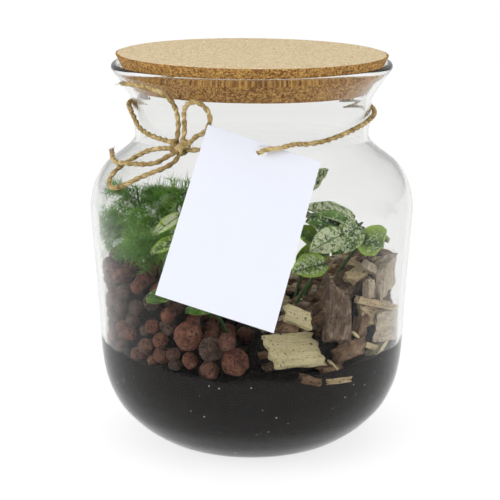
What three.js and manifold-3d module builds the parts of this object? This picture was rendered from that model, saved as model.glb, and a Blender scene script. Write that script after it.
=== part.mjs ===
// A planted glass jar: a wide mouthed jar with a tapered cork lid, filled with potting soil, expanded clay
// balls on the left and wood chips on the right, an asparagus fern and a mottled leafy plant. A jute twine
// is tied in a bow round the neck and carries a blank card tag.
// Millimetres, +Z up, the front faces -Y, and the origin is the middle of the jar's foot.
import * as THREE from "three";
import { mergeVertices } from "three/addons/utils/BufferGeometryUtils.js";
import Module from "manifold-3d";

const wasm = await Module();
wasm.setup();

// Driving dimensions of the jar, from the middle of the foot up to the flare: radius and height
const JAR_OUTSIDE = [
  [0, 0], [40, 0], [46.5, 1.4], [54.2, 5.5], [63.4, 13], [71.8, 24], [77.4, 42], [79.6, 78], [81.5, 106],
  [82.4, 122], [81.7, 128.4], [80.2, 134], [77.6, 139.3], [74.1, 144], [69.5, 147.7], [64.9, 151],
  [61.5, 154.1], [59.3, 157.5], [59.4, 163], [60, 169], [60.3, 176], [62.2, 180], [64.8, 184], [68, 189],
];
const JAR_SIDES = 28;
const WALL = 2.6;
const FLOOR = 4.6;
const FLOOR_RADIUS = 40;
const RIM = { radius: 68.9, height: 193.3, bead: 1.9 };
const GAP = 0.35;

// Driving dimensions of the cork lid
const LID = { top: 68.8, bottom: 60.3, foot: 183, thickness: 16.8, chamfer: 0.6 };
const LID_TILT = { right: 0.55, back: 0.3 };

// Driving dimensions of the twine and the tag
const TWINE = 2.6;
const TWINE_LIFT = TWINE / 2 + 0.5;
const TAG = { width: 56, height: 89.4, thickness: 0.6, hole: 5.6, fromLeft: 27.8, fromTop: 4.3 };
const TAG_AT = [4.6, -64.75, 160.8];
const TAG_TURN = { lean: -34.4, roll: 23, yaw: 14 };

const RAD = Math.PI / 180;
const v3 = (p) => new THREE.Vector3(...p);

// A repeatable number from 0 to 1 for each whole number
function draw(i) {
  const s = Math.sin(i * 127.1 + 311.7) * 43758.5453;
  return s - Math.floor(s);
}

// A point at an angle from the front, positive to the right, a radius and a height
function polar(angle, radius, z) {
  return new THREE.Vector3(radius * Math.sin(angle * RAD), -radius * Math.cos(angle * RAD), z);
}

// The value between the stops of a list of pairs
function between(x, stops) {
  const last = stops.length - 1;
  if (x <= stops[0][0]) return stops[0][1];
  if (x >= stops[last][0]) return stops[last][1];
  const i = stops.findIndex((s) => x < s[0]);
  const [a, b] = [stops[i - 1], stops[i]];
  return a[1] + ((b[1] - a[1]) * (x - a[0])) / (b[0] - a[0]);
}

// A closed geometry as a solid, turned right side out
function solid(geometry) {
  const bare = geometry.clone();
  bare.deleteAttribute("normal");
  bare.deleteAttribute("uv");
  const merged = mergeVertices(bare, 1e-4);
  const source = merged.index.array;
  const make = (flip) => {
    const triangles = [];
    for (let i = 0; i < source.length; i += 3) {
      const [a, b, c] = [source[i], source[i + 1], source[i + 2]];
      if (a !== b && b !== c && c !== a) triangles.push(a, flip ? c : b, flip ? b : c);
    }
    return new wasm.Manifold(
      new wasm.Mesh({
        numProp: 3,
        vertProperties: new Float32Array(merged.attributes.position.array),
        triVerts: new Uint32Array(triangles),
      }),
    );
  };
  const made = make(false);
  return made.volume() < 0 ? make(true) : made;
}

const joined = (list) => list.reduce((a, b) => a.add(b));

// The largest body of a solid, without loose scraps
function mainBody(made) {
  return made.decompose().reduce((a, b) => (a.volume() > b.volume() ? a : b));
}

const group = new THREE.Group();

// Adds a solid to the group as one named mesh
function place(name, made, colour, roughness, extra = {}) {
  const mesh = made.getMesh();
  const geometry = new THREE.BufferGeometry();
  geometry.setAttribute("position", new THREE.BufferAttribute(new Float32Array(mesh.vertProperties), 3));
  geometry.setIndex(new THREE.BufferAttribute(new Uint32Array(mesh.triVerts), 1));
  geometry.computeVertexNormals();
  const material = new THREE.MeshStandardMaterial({ color: colour, roughness, metalness: 0, ...extra });
  const node = new THREE.Mesh(geometry, material);
  node.name = name;
  group.add(node);
}

// A round bar of some sides along a smooth line through points
function bar(points, radius, sides, steps) {
  const section = new THREE.Shape(
    Array.from({ length: sides }, (_, i) => {
      const a = (2 * Math.PI * i) / sides;
      return new THREE.Vector2(radius * Math.cos(a), radius * Math.sin(a));
    }),
  );
  const path = new THREE.CatmullRomCurve3(points);
  return solid(new THREE.ExtrudeGeometry(section, { steps, extrudePath: path, bevelEnabled: false }));
}

// A solid of revolution about the jar's axis
function turned(profile) {
  const outline = profile.map(([r, z]) => new THREE.Vector2(r, z));
  return solid(new THREE.LatheGeometry(outline, JAR_SIDES).rotateX(Math.PI / 2));
}

// The unit outward direction of the jar's outside at one of its points
function jarNormal(i) {
  const last = JAR_OUTSIDE.length - 1;
  const a = JAR_OUTSIDE[Math.max(0, i - 1)];
  const b = JAR_OUTSIDE[Math.min(last, i + 1)];
  const length = Math.hypot(b[0] - a[0], b[1] - a[1]);
  return [(b[1] - a[1]) / length, (a[0] - b[0]) / length];
}

// The jar's outside moved inwards by a depth, above the thick foot, at every second of its points
function jarInside(depth) {
  const wall = JAR_OUTSIDE.map(([r, z], i) => {
    const n = jarNormal(i);
    return [r - n[0] * depth, z - n[1] * depth];
  });
  return wall.filter(([r, z], i) => i % 2 && r > FLOOR_RADIUS + 8 && z > FLOOR + 2);
}

// The rolled glass bead of the rim, from outside to inside
const bead = [-25, 45, 110, 175].map((a) => [
  RIM.radius + RIM.bead * Math.cos(a * RAD),
  RIM.height + RIM.bead * Math.sin(a * RAD),
]);
const insideWall = jarInside(WALL);
const jarProfile = [...JAR_OUTSIDE, ...bead, ...insideWall.toReversed(), [FLOOR_RADIUS, FLOOR], [0, FLOOR]];
place("glass_jar", turned(jarProfile), 0xe6ecea, 0.04, { transparent: true, opacity: 0.3 });

// The space that the contents may fill, a hair inside the glass
const roomWall = jarInside(WALL + GAP).filter(([, z]) => z < 160);
const roomTop = roomWall.at(-1)[1];
const room = turned([[0, FLOOR + GAP], [FLOOR_RADIUS, FLOOR + GAP], ...roomWall, [0, roomTop]]);
const roomRadius = (z) => between(z, roomWall.map(([r, h]) => [h, r])) * Math.cos(Math.PI / JAR_SIDES);

// The cork lid: a pressed cork disc that tapers and rests in the flared mouth, a little askew
const cork = solid(
  new THREE.LatheGeometry(
    [
      [0, 0],
      [LID.bottom, 0],
      [LID.top - LID.chamfer * 0.5, LID.thickness - LID.chamfer],
      [LID.top - LID.chamfer, LID.thickness],
      [0, LID.thickness],
    ].map(([r, z]) => new THREE.Vector2(r, z)),
    32,
  )
    .rotateX(Math.PI / 2)
    .rotateX(-LID_TILT.back * RAD)
    .rotateY(LID_TILT.right * RAD)
    .translate(0, 0, LID.foot),
);
place("cork_lid", cork, 0xc89b66, 0.9);

// A closed bed of loose stuff between two height functions, on rings between two angles
function bed(from, to, sectors, radii, low, high) {
  const at = (i, j, height) => {
    const angle = from + ((to - from) * i) / sectors;
    return polar(angle, radii[j], height(angle, radii[j]));
  };
  const corners = [];
  const quad = (a, b, c, d) => corners.push(a, b, c, a, c, d);
  const last = radii.length - 1;
  for (let i = 0; i < sectors; i++) {
    for (let j = 0; j < last; j++) {
      quad(at(i, j, high), at(i, j + 1, high), at(i + 1, j + 1, high), at(i + 1, j, high));
      quad(at(i, j, low), at(i + 1, j, low), at(i + 1, j + 1, low), at(i, j + 1, low));
    }
    quad(at(i, last, low), at(i + 1, last, low), at(i + 1, last, high), at(i, last, high));
    if (radii[0] > 0) quad(at(i, 0, low), at(i, 0, high), at(i + 1, 0, high), at(i + 1, 0, low));
  }
  if (to - from < 360)
    for (let j = 0; j < last; j++) {
      quad(at(0, j, low), at(0, j + 1, low), at(0, j + 1, high), at(0, j, high));
      quad(at(sectors, j, low), at(sectors, j, high), at(sectors, j + 1, high), at(sectors, j + 1, low));
    }
  return solid(new THREE.BufferGeometry().setFromPoints(corners));
}

// The soil's uneven top: lowest at the front glass, a little higher at the sides and in the middle
const SOIL = { front: 49.5, sides: 5.2, middle: 4, bumps: 0.8 };
function soilTop(angle, radius) {
  const fromFront = Math.abs(((angle + 540) % 360) - 180);
  const side = 1 - Math.exp(-((fromFront / 38) ** 2));
  const p = polar(angle, radius, 0);
  const bump = Math.sin(p.x * 0.21 + 1) * Math.cos(p.y * 0.17) + 0.5 * Math.sin(p.x * 0.4 - p.y * 0.33);
  const inner = 1 - Math.min(1, radius / 78) ** 2;
  return SOIL.front + SOIL.sides * side * Math.min(1, radius / 60) + SOIL.middle * inner + SOIL.bumps * bump;
}

// The fern's fronds: a path from the crown to the tip, and the length of the longest side spray
const FRONDS = [
  { name: "left", path: [[-44, 1, 44], [-51, -3, 84], [-59, -11, 106], [-66, -20, 117]], spray: 24 },
  { name: "high", path: [[-41, 8, 44], [-50, 6, 92], [-57, 0, 124], [-58, -10, 141]], spray: 22 },
  { name: "middle", path: [[-37, 5, 44], [-37, 1, 96], [-38, -8, 124], [-35, -18, 140]], spray: 22 },
  { name: "right", path: [[-34, 10, 44], [-25, 10, 96], [-14, 5, 122], [-4, -4, 136]], spray: 24 },
  { name: "back", path: [[-41, 13, 44], [-47, 24, 90], [-51, 37, 117], [-49, 47, 132]], spray: 24 },
  { name: "front", path: [[-39, -1, 44], [-44, -15, 86], [-49, -32, 106], [-50, -44, 113]], spray: 20 },
];
const FERN_STEM = { radius: 0.8, sides: 4, steps: 5 };
const FERN_SPRAYS = 7;
const FERN_SPRAY_RADIUS = 0.75;
const FERN_NEEDLES = 4;
const NEEDLE = { length: 7, radius: 0.42 };

// The leafy stems: a path up from the soil, and leaves by place, heading, pitch, roll, length and width
const LEAFY = [
  { name: "front_right", path: [[20, -14, 44], [28, -24, 84], [38, -30, 104], [44, -32, 114]],
    leaves: [
      { at: [50, -33, 119.3], heading: -70, pitch: 24, roll: -34, size: [26, 14] },
      { at: [48.8, -37, 117.1], heading: -63, pitch: 16, roll: -63, size: [25, 14] },
      { at: [54.5, -40, 119.3], heading: -50, pitch: -33, roll: -47, size: [22.5, 15] },
      { at: [44.3, -47, 118.4], heading: -61, pitch: -5, roll: -52, size: [20.5, 15] },
    ] },
  { name: "right", path: [[30, -4, 44], [42, -12, 84], [52, -18, 102], [56, -24, 108]],
    leaves: [
      { at: [53.9, -36, 112.9], heading: 54, pitch: -5, roll: 47, size: [15.5, 15.5] },
      { at: [60, -20, 110], heading: 120, pitch: -6, roll: -10, size: [16, 13] },
      { at: [50, -14, 108], heading: -150, pitch: 6, roll: 20, size: [17, 13] },
    ] },
  { name: "low_front", path: [[14, -24, 44], [22, -34, 78], [29, -38, 92], [32, -38, 99]],
    leaves: [
      { at: [32, -41, 110.5], heading: -56, pitch: 37, roll: -64, size: [16, 11] },
      { at: [35.2, -47.6, 102.2], heading: -59, pitch: -4, roll: -45, size: [18, 14] },
      { at: [36.5, -38, 105], heading: -59, pitch: -1, roll: -36, size: [17, 12.5] },
    ] },
  { name: "left", path: [[-16, -20, 44], [-24, -32, 88], [-28, -35, 106], [-29, -35, 114]],
    leaves: [
      { at: [-34.5, -40, 125.3], heading: -51, pitch: -22, roll: -24, size: [19, 9.5] },
      { at: [-36.4, -44, 114.7], heading: -53, pitch: -15, roll: -27, size: [19, 10] },
      { at: [-33, -28, 127.8], heading: -60, pitch: -9, roll: -33, size: [19, 12] },
    ] },
  { name: "low_left", path: [[-6, -30, 44], [-14, -44, 70], [-20, -49, 80], [-24, -50, 86]],
    leaves: [
      { at: [-39.2, -53, 87.9], heading: -58, pitch: -4, roll: -32, size: [14.5, 9] },
      { at: [-18.8, -55, 82.4], heading: -62, pitch: 0, roll: -39, size: [14.5, 9] },
    ] },
  { name: "tall", path: [[10, 6, 44], [14, 2, 96], [18, -8, 120], [22, -16, 130]],
    leaves: [
      { at: [24.1, -20, 133.2], heading: 74, pitch: 37, roll: 69, size: [17, 8] },
      { at: [15, -18, 132], heading: -20, pitch: -12, roll: 6, size: [18, 14] },
      { at: [26, -6, 127], heading: 125, pitch: -4, roll: 6, size: [18, 14] },
      { at: [8, -6, 120], heading: -60, pitch: -10, roll: 0, size: [17, 13] },
    ] },
  { name: "back_right", path: [[18, 18, 44], [28, 28, 88], [34, 36, 108], [36, 40, 116]],
    leaves: [
      { at: [40, 42, 118], heading: 130, pitch: -16, roll: 6, size: [18, 14] },
      { at: [33, 45, 114], heading: 175, pitch: -24, roll: 0, size: [17, 14] },
      { at: [42, 34, 112], heading: 85, pitch: -12, roll: 8, size: [17, 13] },
    ] },
  { name: "back", path: [[-2, 24, 44], [-4, 34, 84], [-6, 42, 104], [-6, 46, 112]],
    leaves: [
      { at: [-8, 50, 114], heading: -160, pitch: -20, roll: 0, size: [18, 14] },
      { at: [2, 47, 111], heading: 140, pitch: -14, roll: 6, size: [17, 13] },
      { at: [-13, 42, 108], heading: -95, pitch: -16, roll: 0, size: [15, 12] },
    ] },
];
const LEAFY_STEM = { radius: 1, sides: 4, steps: 5 };
const LEAF_THICK = 0.7;

// A stem, or the plain hole that it stands in when it is given a clearance
function stemBar({ path }, { radius, sides, steps }, clearance = 0) {
  return bar(path.map(v3), radius + clearance / Math.cos(Math.PI / sides), sides, steps);
}
const allHoles = joined([
  ...FRONDS.map((frond) => stemBar(frond, FERN_STEM, GAP)),
  ...LEAFY.map((stem) => stemBar(stem, LEAFY_STEM, GAP)),
]);

// The soil, poured to about a third of the jar
const soilForm = bed(0, 360, 18, [0, 36, 90], () => -5, soilTop);
place("soil", mainBody(soilForm.intersect(room).subtract(allHoles)), 0x2e2723, 0.95);
const aboveSoil = room.subtract(soilForm.translate(0, 0, GAP)).subtract(allHoles);

// The top of a heap against the glass, from its height at the glass by angle down to the middle
const HEAP_FOOT = 60;
function heap(wallHeights) {
  return (angle, radius) => {
    const t = Math.min(1, Math.max(0, (radius - 14) / 48));
    return HEAP_FOOT + (between(angle, wallHeights) - HEAP_FOOT) * t ** 0.9;
  };
}
const overSoil = (angle, radius) => soilTop(angle, radius) + GAP;

// The clay balls: a heap on the left with a smaller core, fired clay balls of 7 to 16 mm on its outside
const clayTop = heap([[-172, 58], [-150, 72], [-120, 90], [-90, 98], [-65, 97], [-50, 92], [-37, 85],
  [-27, 75], [-18, 65], [-9, 57]]);
const CLAY_CORE_DEPTH = 5;
const clayCore = bed(-170, -13, 9, [14, 44, 90],
  overSoil,
  (angle, radius) => Math.max(clayTop(angle, radius) - CLAY_CORE_DEPTH, overSoil(angle, radius) + 1.5),
).intersect(turned([[0, 20], [65, 20], [66, 60], [66, 110], [0, 110]]));
// The large balls that show at the front glass: angle, height and diameter
const FRONT_BALLS = [
  [-6.6, 58.5, 14.6], [-16.2, 64.8, 12.6], [-26.6, 70, 15.6], [-16.9, 54.3, 10.6], [-24.5, 58.5, 8.6],
  [-9.6, 69.5, 9.4], [-31.5, 60.5, 7.4], [-38, 66, 8.6], [-37.5, 58.6, 8.6], [-46, 61, 9],
];
const BALL_PITCH = 12.4;
function clayBall(centre, diameter, detail) {
  return solid(new THREE.IcosahedronGeometry(diameter / 2, detail).rotateZ(centre.x + centre.z)
    .translate(centre.x, centre.y, centre.z));
}
const clayBalls = FRONT_BALLS.map(([angle, z, diameter]) => ({
  centre: polar(angle, roomRadius(z) - 0.1 - diameter / 2, z), diameter,
}));
const clayFits = (centre, diameter) =>
  clayBalls.every((b) => b.centre.distanceTo(centre) > 0.475 * (b.diameter + diameter));
for (let z = 61, row = 0; z < 97; z += BALL_PITCH * 0.8, row++)
  for (let angle = -166 + (row % 2) * 4.6; angle < -12; angle += angle < -105 ? 13.8 : 9.2) {
    const diameter = 11 + 2.2 * draw(angle * 7 + row);
    const height = z + 2 * (draw(angle * 3 + row) - 0.5);
    const centre = polar(angle, roomRadius(height) - 0.1 - diameter / 2, height);
    const low = overSoil(angle, 74) + diameter / 2 - 1;
    if (height < clayTop(angle, 74) - 1 && height > low && clayFits(centre, diameter))
      clayBalls.push({ centre, diameter });
  }
for (let x = -68, row = 0; x < -2; x += BALL_PITCH * 0.88, row++)
  for (let y = -66 + (row % 2) * 6.2; y < 66; y += BALL_PITCH * 1.02) {
    const diameter = 11.4 + 2.8 * draw(x * 5 + y * 11);
    const [angle, radius] = [Math.atan2(x, -y) / RAD, Math.hypot(x, y)];
    const centre = new THREE.Vector3(x, y, clayTop(angle, radius) - diameter * 0.42);
    const inside = radius < roomRadius(centre.z) - diameter / 2 - 0.2 && radius > 17;
    const high = centre.z > overSoil(angle, radius) + diameter / 2 - 1;
    if (angle < -14 && angle > -168 && inside && high && clayFits(centre, diameter))
      clayBalls.push({ centre, diameter });
  }
const clayHeap = joined([
  clayCore,
  ...clayBalls.map((b, i) => clayBall(b.centre, b.diameter, i < 2 ? 1 : 0)),
]);
place("clay_balls", mainBody(clayHeap.intersect(aboveSoil)), 0x7a4636, 0.9);

// Wood and bark chips: split pieces with a length, width and thickness, uneven ends and corners
const CHIPS = [
  { name: "pale_front", at: [20.5, -61, 62], along: [0.95, 0.29, -0.02], face: [0.22, -0.66, 0.72],
    size: [28, 20, 3], skew: -0.17, wood: "pale" },
  { name: "bark_upright", at: [40.5, -57, 82], along: [0.03, 0.02, 1], face: [0.45, -0.88, 0.05],
    size: [37, 15, 5], wood: "bark" },
  { name: "streaked", at: [60.5, -38.5, 75], along: [0.64, 0.74, -0.2], face: [0.72, -0.62, 0.3],
    size: [30, 14, 4], wood: "pale" },
  { name: "grey_right", at: [66.5, -24, 90], along: [0.1, 0.1, 1], face: [0.85, -0.45, 0.25],
    size: [19, 14, 4.5], wood: "grey" },
  { name: "splinter", at: [64, -33.5, 59.5], along: [0.45, 0.64, 0.62], face: [0.8, -0.6, 0],
    size: [27, 5, 3.2], wood: "pale" },
  { name: "small_pale", at: [21.8, -62, 79.5], along: [0.85, 0.25, -0.45], face: [0.3, -0.8, 0.52],
    size: [15, 10, 2.6], wood: "pale" },
  { name: "knobbly", at: [47, -54.5, 60], along: [0.8, 0.6, 0.12], face: [0.5, -0.6, 0.6],
    size: [19, 9, 7], wood: "brown" },
  { name: "yellow_top", at: [50.5, -42, 95], along: [0.75, 0.5, 0.42], face: [0.2, -0.7, 0.68],
    size: [12, 8, 4], wood: "pale" },
  { name: "thin_top", at: [57, -44, 89], along: [0.15, 0.1, 1], face: [0.7, -0.7, 0],
    size: [11, 6, 3], wood: "pale" },
  { name: "front_low", at: [38, -60.5, 53.6], along: [0.86, 0.5, 0.05], face: [0.3, -0.5, 0.8],
    size: [15, 7, 2.6], wood: "brown" },
  { name: "bark_inner", at: [44, -40, 88], along: [0.5, 0.7, 0.3], face: [0, -0.5, 0.86],
    size: [22, 14, 5], wood: "bark" },
  { name: "brown_inner", at: [30, -48, 76], along: [0.9, 0.2, 0.3], face: [0.1, -0.6, 0.8],
    size: [18, 12, 4], wood: "brown" },
];
// More large chips round the right side and the back, by rule
const CHIP_WOODS = ["brown", "pale", "bark", "grey"];
for (let i = 0; i < 8; i++) {
  const angle = 78 + i * 12;
  const upper = i % 2;
  const z = upper ? 88 - i * 3 : 70 - i * 0.8;
  const p = polar(angle, upper ? 60 : 69, z);
  const out = polar(angle, 1, 0);
  const tilt = 0.5 * (draw(i + 40) - 0.5);
  CHIPS.push({
    name: "side_" + (i + 1),
    at: p.toArray(),
    along: [-out.y, out.x, tilt],
    face: [out.x, out.y, upper ? 1.3 : 0.3],
    size: [20 + 8 * draw(i + 60), 11 + 4 * draw(i + 70), 3.5 + 1.5 * draw(i + 80)],
    wood: CHIP_WOODS[i % 4],
    segments: [1, 1, 1],
  });
}
const WOOD = {
  pale: { colour: 0xc9b384, roughness: 0.85 },
  brown: { colour: 0x6f5038, roughness: 0.9 },
  bark: { colour: 0x4e3a2e, roughness: 0.95 },
  grey: { colour: 0x8a7358, roughness: 0.9 },
};

// A chip, or the same chip grown on every side by a margin
function chip({ at, along, face, size, skew }, seed, segments, margin = 0) {
  const x = v3(along).normalize();
  const z = v3(face).addScaledVector(x, -x.dot(v3(face))).normalize();
  const y = new THREE.Vector3().crossVectors(z, x);
  const [length, width, thick] = size;
  const slant = skew ?? 0.5 * (draw(seed + 9) - 0.5);
  const box = new THREE.BoxGeometry(length, width, thick, ...segments);
  const p = box.attributes.position;
  for (let i = 0; i < p.count; i++) {
    const [a, b, c] = [p.getX(i) / length, p.getY(i) / width, p.getZ(i) / thick];
    const corner = Math.round(a * 6 + 3) + 10 * Math.round(b * 2 + 1) + 100 * Math.round(c + 0.5) + 1000 * seed;
    const bend = 0.35 * thick * Math.cos(a * 2.4 + seed);
    const across = 1 + 0.22 * (draw(corner) - 0.5);
    p.setXYZ(
      i,
      a * length * (1 + 0.16 * (draw(corner + 3) - 0.5)) + b * width * slant + 2 * margin * a,
      b * width * across + 2 * margin * b,
      c * thick * (1 + 0.3 * (draw(corner + 7) - 0.5)) + bend + 2 * margin * c,
    );
  }
  const frame = new THREE.Matrix4().makeBasis(x, y, z).setPosition(...at);
  return solid(box.applyMatrix4(frame));
}
const CHIP_GAP = 0.4;
const chipsGrown = [];
CHIPS.forEach((made, i) => {
  const segments = made.segments ?? [2, 1, 1];
  let body = chip(made, i, segments).intersect(aboveSoil);
  for (const before of chipsGrown) body = body.subtract(before);
  place("chip_" + made.name, mainBody(body), WOOD[made.wood].colour, WOOD[made.wood].roughness);
  chipsGrown.push(chip(made, i, segments, CHIP_GAP));
});

// The bed of small chips under the large ones, with a smaller core
const woodTop = heap([[7, 57], [12, 70], [20, 80], [30, 86], [42, 92], [60, 98], [90, 98], [125, 88],
  [150, 72], [168, 60]]);
const WOOD_CORE_DEPTH = 6;
const woodCore = bed(11, 168, 9, [14, 44, 90],
  overSoil,
  (angle, radius) => Math.max(woodTop(angle, radius) - WOOD_CORE_DEPTH, overSoil(angle, radius) + 1.5),
).intersect(turned([[0, 20], [68, 20], [71.5, 60], [72, 110], [0, 110]]));
const smallChips = [];
for (let i = 0; i < 12; i++) {
  const onWall = i < 10;
  const angle = onWall ? 14 + (i % 5) * 30 + 8 * draw(i) : 16 + 148 * draw(i + 0.5);
  const radius = onWall ? 71 : 22 + 44 * Math.sqrt(draw(i + 7));
  const low = overSoil(angle, radius) + 4;
  const top = woodTop(angle, radius) - 3.5;
  const z = onWall ? low + (top - low) * (i < 5 ? 0.12 : 0.6) : top;
  const out = polar(angle, 1, 0);
  const spin = 180 * draw(i + 21) * RAD;
  const side = new THREE.Vector3(-out.y, out.x, 0).multiplyScalar(Math.cos(spin));
  smallChips.push(chip({
    at: polar(angle, radius, z).toArray(),
    along: side.add(new THREE.Vector3(0, 0, Math.sin(spin) * 0.6)).toArray(),
    face: onWall ? [out.x, out.y, 0.3] : [draw(i + 31) - 0.5, draw(i + 32) - 0.5, 1],
    size: [13 + 7 * draw(i + 41), 7 + 4 * draw(i + 51), 3.4 + 1.6 * draw(i + 61)],
  }, i + 100, [1, 1, 1]));
}
const woodBed = joined([woodCore, ...smallChips]).intersect(aboveSoil);
const bedClear = chipsGrown.reduce((made, grown) => made.subtract(grown), woodBed);
place("chip_bed", mainBody(bedClear), 0x5a4534, 0.95);

// Thin round stretches that are already in place, so that the fern's needles can keep clear of them
const taken = [];
function takeLine(points, radius, owner) {
  for (let i = 1; i < points.length; i++) taken.push({ a: points[i - 1], b: points[i], radius, owner });
}
function clearOf(a, b, radius, owner) {
  for (const other of taken) {
    if (other.owner === owner) continue;
    const line = new THREE.Line3(other.a, other.b);
    const samples = Math.ceil(a.distanceTo(b) / 1.5);
    for (let k = 0; k <= samples; k++) {
      const p = a.clone().lerp(b, k / samples);
      const near = line.closestPointToPoint(p, true, new THREE.Vector3());
      if (near.distanceTo(p) < radius + other.radius + 0.5) return false;
    }
  }
  return true;
}
const insideJar = (p, margin) => Math.hypot(p.x, p.y) < roomRadius(p.z) - margin;

// A leaf blade: oval, cupped, arched and waved at the edge, with both faces split alike
const LEAF_STATIONS = 5;
const LEAF_ACROSS = 2;
function leafPoint(t, s, length, width, side) {
  const half = 0.5 * width * Math.sin(Math.PI * (0.06 + 0.9 * t) ** 0.85) ** 0.75;
  const cup = 0.16 * width * s * s;
  const wave = 0.05 * width * Math.sin(t * 15) * Math.abs(s) ** 3;
  const arch = -0.22 * length * t * t + 0.1 * length * t;
  const z = cup + wave + arch + side * LEAF_THICK * 0.5 * (t > 0.98 ? 0.7 : 1);
  return new THREE.Vector3(t * length, s * half, z);
}
function leafBlade(length, width) {
  const corners = [];
  const at = (i, j, side) => leafPoint(i / LEAF_STATIONS, (2 * j) / LEAF_ACROSS - 1, length, width, side);
  const quad = (a, b, c, d) => corners.push(a, b, c, a, c, d);
  for (let i = 0; i < LEAF_STATIONS; i++)
    for (let j = 0; j < LEAF_ACROSS; j++) {
      quad(at(i, j, 1), at(i + 1, j, 1), at(i + 1, j + 1, 1), at(i, j + 1, 1));
      corners.push(at(i, j, -1), at(i + 1, j + 1, -1), at(i + 1, j, -1));
      corners.push(at(i, j, -1), at(i, j + 1, -1), at(i + 1, j + 1, -1));
    }
  for (let i = 0; i < LEAF_STATIONS; i++) {
    quad(at(i, 0, 1), at(i, 0, -1), at(i + 1, 0, -1), at(i + 1, 0, 1));
    quad(at(i, LEAF_ACROSS, 1), at(i + 1, LEAF_ACROSS, 1), at(i + 1, LEAF_ACROSS, -1), at(i, LEAF_ACROSS, -1));
  }
  for (let j = 0; j < LEAF_ACROSS; j++) {
    quad(at(0, j, 1), at(0, j + 1, 1), at(0, j + 1, -1), at(0, j, -1));
    quad(at(LEAF_STATIONS, j, 1), at(LEAF_STATIONS, j, -1), at(LEAF_STATIONS, j + 1, -1),
      at(LEAF_STATIONS, j + 1, 1));
  }
  return new THREE.BufferGeometry().setFromPoints(corners);
}

// Where a leaf's blade starts and which way it lies: heading from the front, pitch up and roll
function leafFrame({ at, heading, pitch, roll }) {
  const turn = new THREE.Euler(roll * RAD, -pitch * RAD, (heading - 90) * RAD, "ZYX");
  return new THREE.Matrix4().makeRotationFromEuler(turn).setPosition(...at);
}

// A leafy stem with its leaf stalks and leaves, in one body
function leafyStem(stem, owner) {
  const line = new THREE.CatmullRomCurve3(stem.path.map(v3));
  const parts = [stemBar(stem, LEAFY_STEM)];
  stem.leaves.forEach((leaf, k) => {
    const frame = leafFrame(leaf);
    const [length, width] = leaf.size;
    const root = line.getPoint(1 - 0.07 * k - 0.02);
    const join = new THREE.Vector3(1.4, 0, 0.12).applyMatrix4(frame);
    const before = new THREE.Vector3(-1.5, 0, -0.2).applyMatrix4(frame);
    parts.push(solid(leafBlade(length, width).applyMatrix4(frame)));
    parts.push(bar([root, before, join], 0.75, 3, 2));
    takeLine([root, before], 0.75, owner);
    for (const s of [-0.6, 0, 0.6])
      takeLine([0.1, 0.5, 0.9].map((t) => leafPoint(t, s, length, width, 0).applyMatrix4(frame)),
        width * 0.2, owner);
  });
  return joined(parts);
}
for (const stem of LEAFY)
  takeLine(new THREE.CatmullRomCurve3(stem.path.map(v3)).getPoints(10), LEAFY_STEM.radius, stem.name);
for (const frond of FRONDS)
  takeLine(new THREE.CatmullRomCurve3(frond.path.map(v3)).getPoints(12), FERN_STEM.radius, "fern_" + frond.name);
for (const stem of LEAFY) {
  const made = leafyStem(stem, stem.name);
  place("leafy_stem_" + stem.name, mainBody(made.intersect(room)), 0x4f8a3a, 0.5);
}

// A three sided needle from its root to its point
function needle(root, point) {
  const aim = point.clone().sub(root).normalize();
  const turn = new THREE.Quaternion().setFromUnitVectors(new THREE.Vector3(0, 0, 1), aim);
  const [a, b, c] = [0, 120, 240].map((t) =>
    polar(t, NEEDLE.radius, 0).applyQuaternion(turn).add(root));
  return solid(new THREE.BufferGeometry().setFromPoints([a, b, point, b, c, point, c, a, point, a, c, b]));
}

// A fern frond: a wiry stem, side sprays in two ranks, and short needles round each spray's slim core
function frond({ path, spray }, owner, seed) {
  const line = new THREE.CatmullRomCurve3(path.map(v3));
  const parts = [stemBar({ path }, FERN_STEM)];
  const up = new THREE.Vector3(0, 0, 1);
  for (let k = 0; k <= FERN_SPRAYS; k++) {
    const tip = k === FERN_SPRAYS;
    const t = tip ? 0.97 : 0.5 + (0.46 * k) / FERN_SPRAYS;
    const base = line.getPoint(t);
    const ahead = line.getTangent(t);
    const side = new THREE.Vector3().crossVectors(ahead, up).normalize().multiplyScalar(k % 2 ? 1 : -1);
    const reach = tip ? spray * 0.35 : spray * (1 - (0.55 * k) / FERN_SPRAYS);
    const lift = 0.45 * (draw(seed * 31 + k) - 0.35);
    const heading = tip
      ? ahead.clone()
      : side.multiplyScalar(0.86).addScaledVector(ahead, 0.5).addScaledVector(up, lift).normalize();
    let length = reach;
    const end = () => base.clone().addScaledVector(heading, length).addScaledVector(up, -0.06 * length);
    while (length > 5 && !(insideJar(end(), 1.2) && clearOf(base, end(), FERN_SPRAY_RADIUS, owner))) length -= 2;
    if (length <= 5) continue;
    const core = [base, end()];
    parts.push(bar(core, FERN_SPRAY_RADIUS, 4, 1));
    takeLine(core, FERN_SPRAY_RADIUS, owner);
    const along = end().sub(base).normalize();
    for (let n = 0; n < FERN_NEEDLES; n++) {
      const root = base.clone().lerp(end(), (n + 0.7) / FERN_NEEDLES);
      const around = 2.4 * n + 5 * draw(seed * 57 + k * 7 + n);
      const sideways = new THREE.Vector3().crossVectors(along, up).normalize();
      const over = new THREE.Vector3().crossVectors(sideways, along);
      const aim = sideways.multiplyScalar(Math.cos(around)).addScaledVector(over, Math.sin(around))
        .addScaledVector(along, 0.55).normalize();
      const point = root.clone().addScaledVector(aim, NEEDLE.length);
      if (!insideJar(point, 0.6) || !clearOf(root, point, NEEDLE.radius, owner)) continue;
      parts.push(needle(root, point));
      takeLine([root, point], NEEDLE.radius, owner);
    }
  }
  return joined(parts);
}
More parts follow.
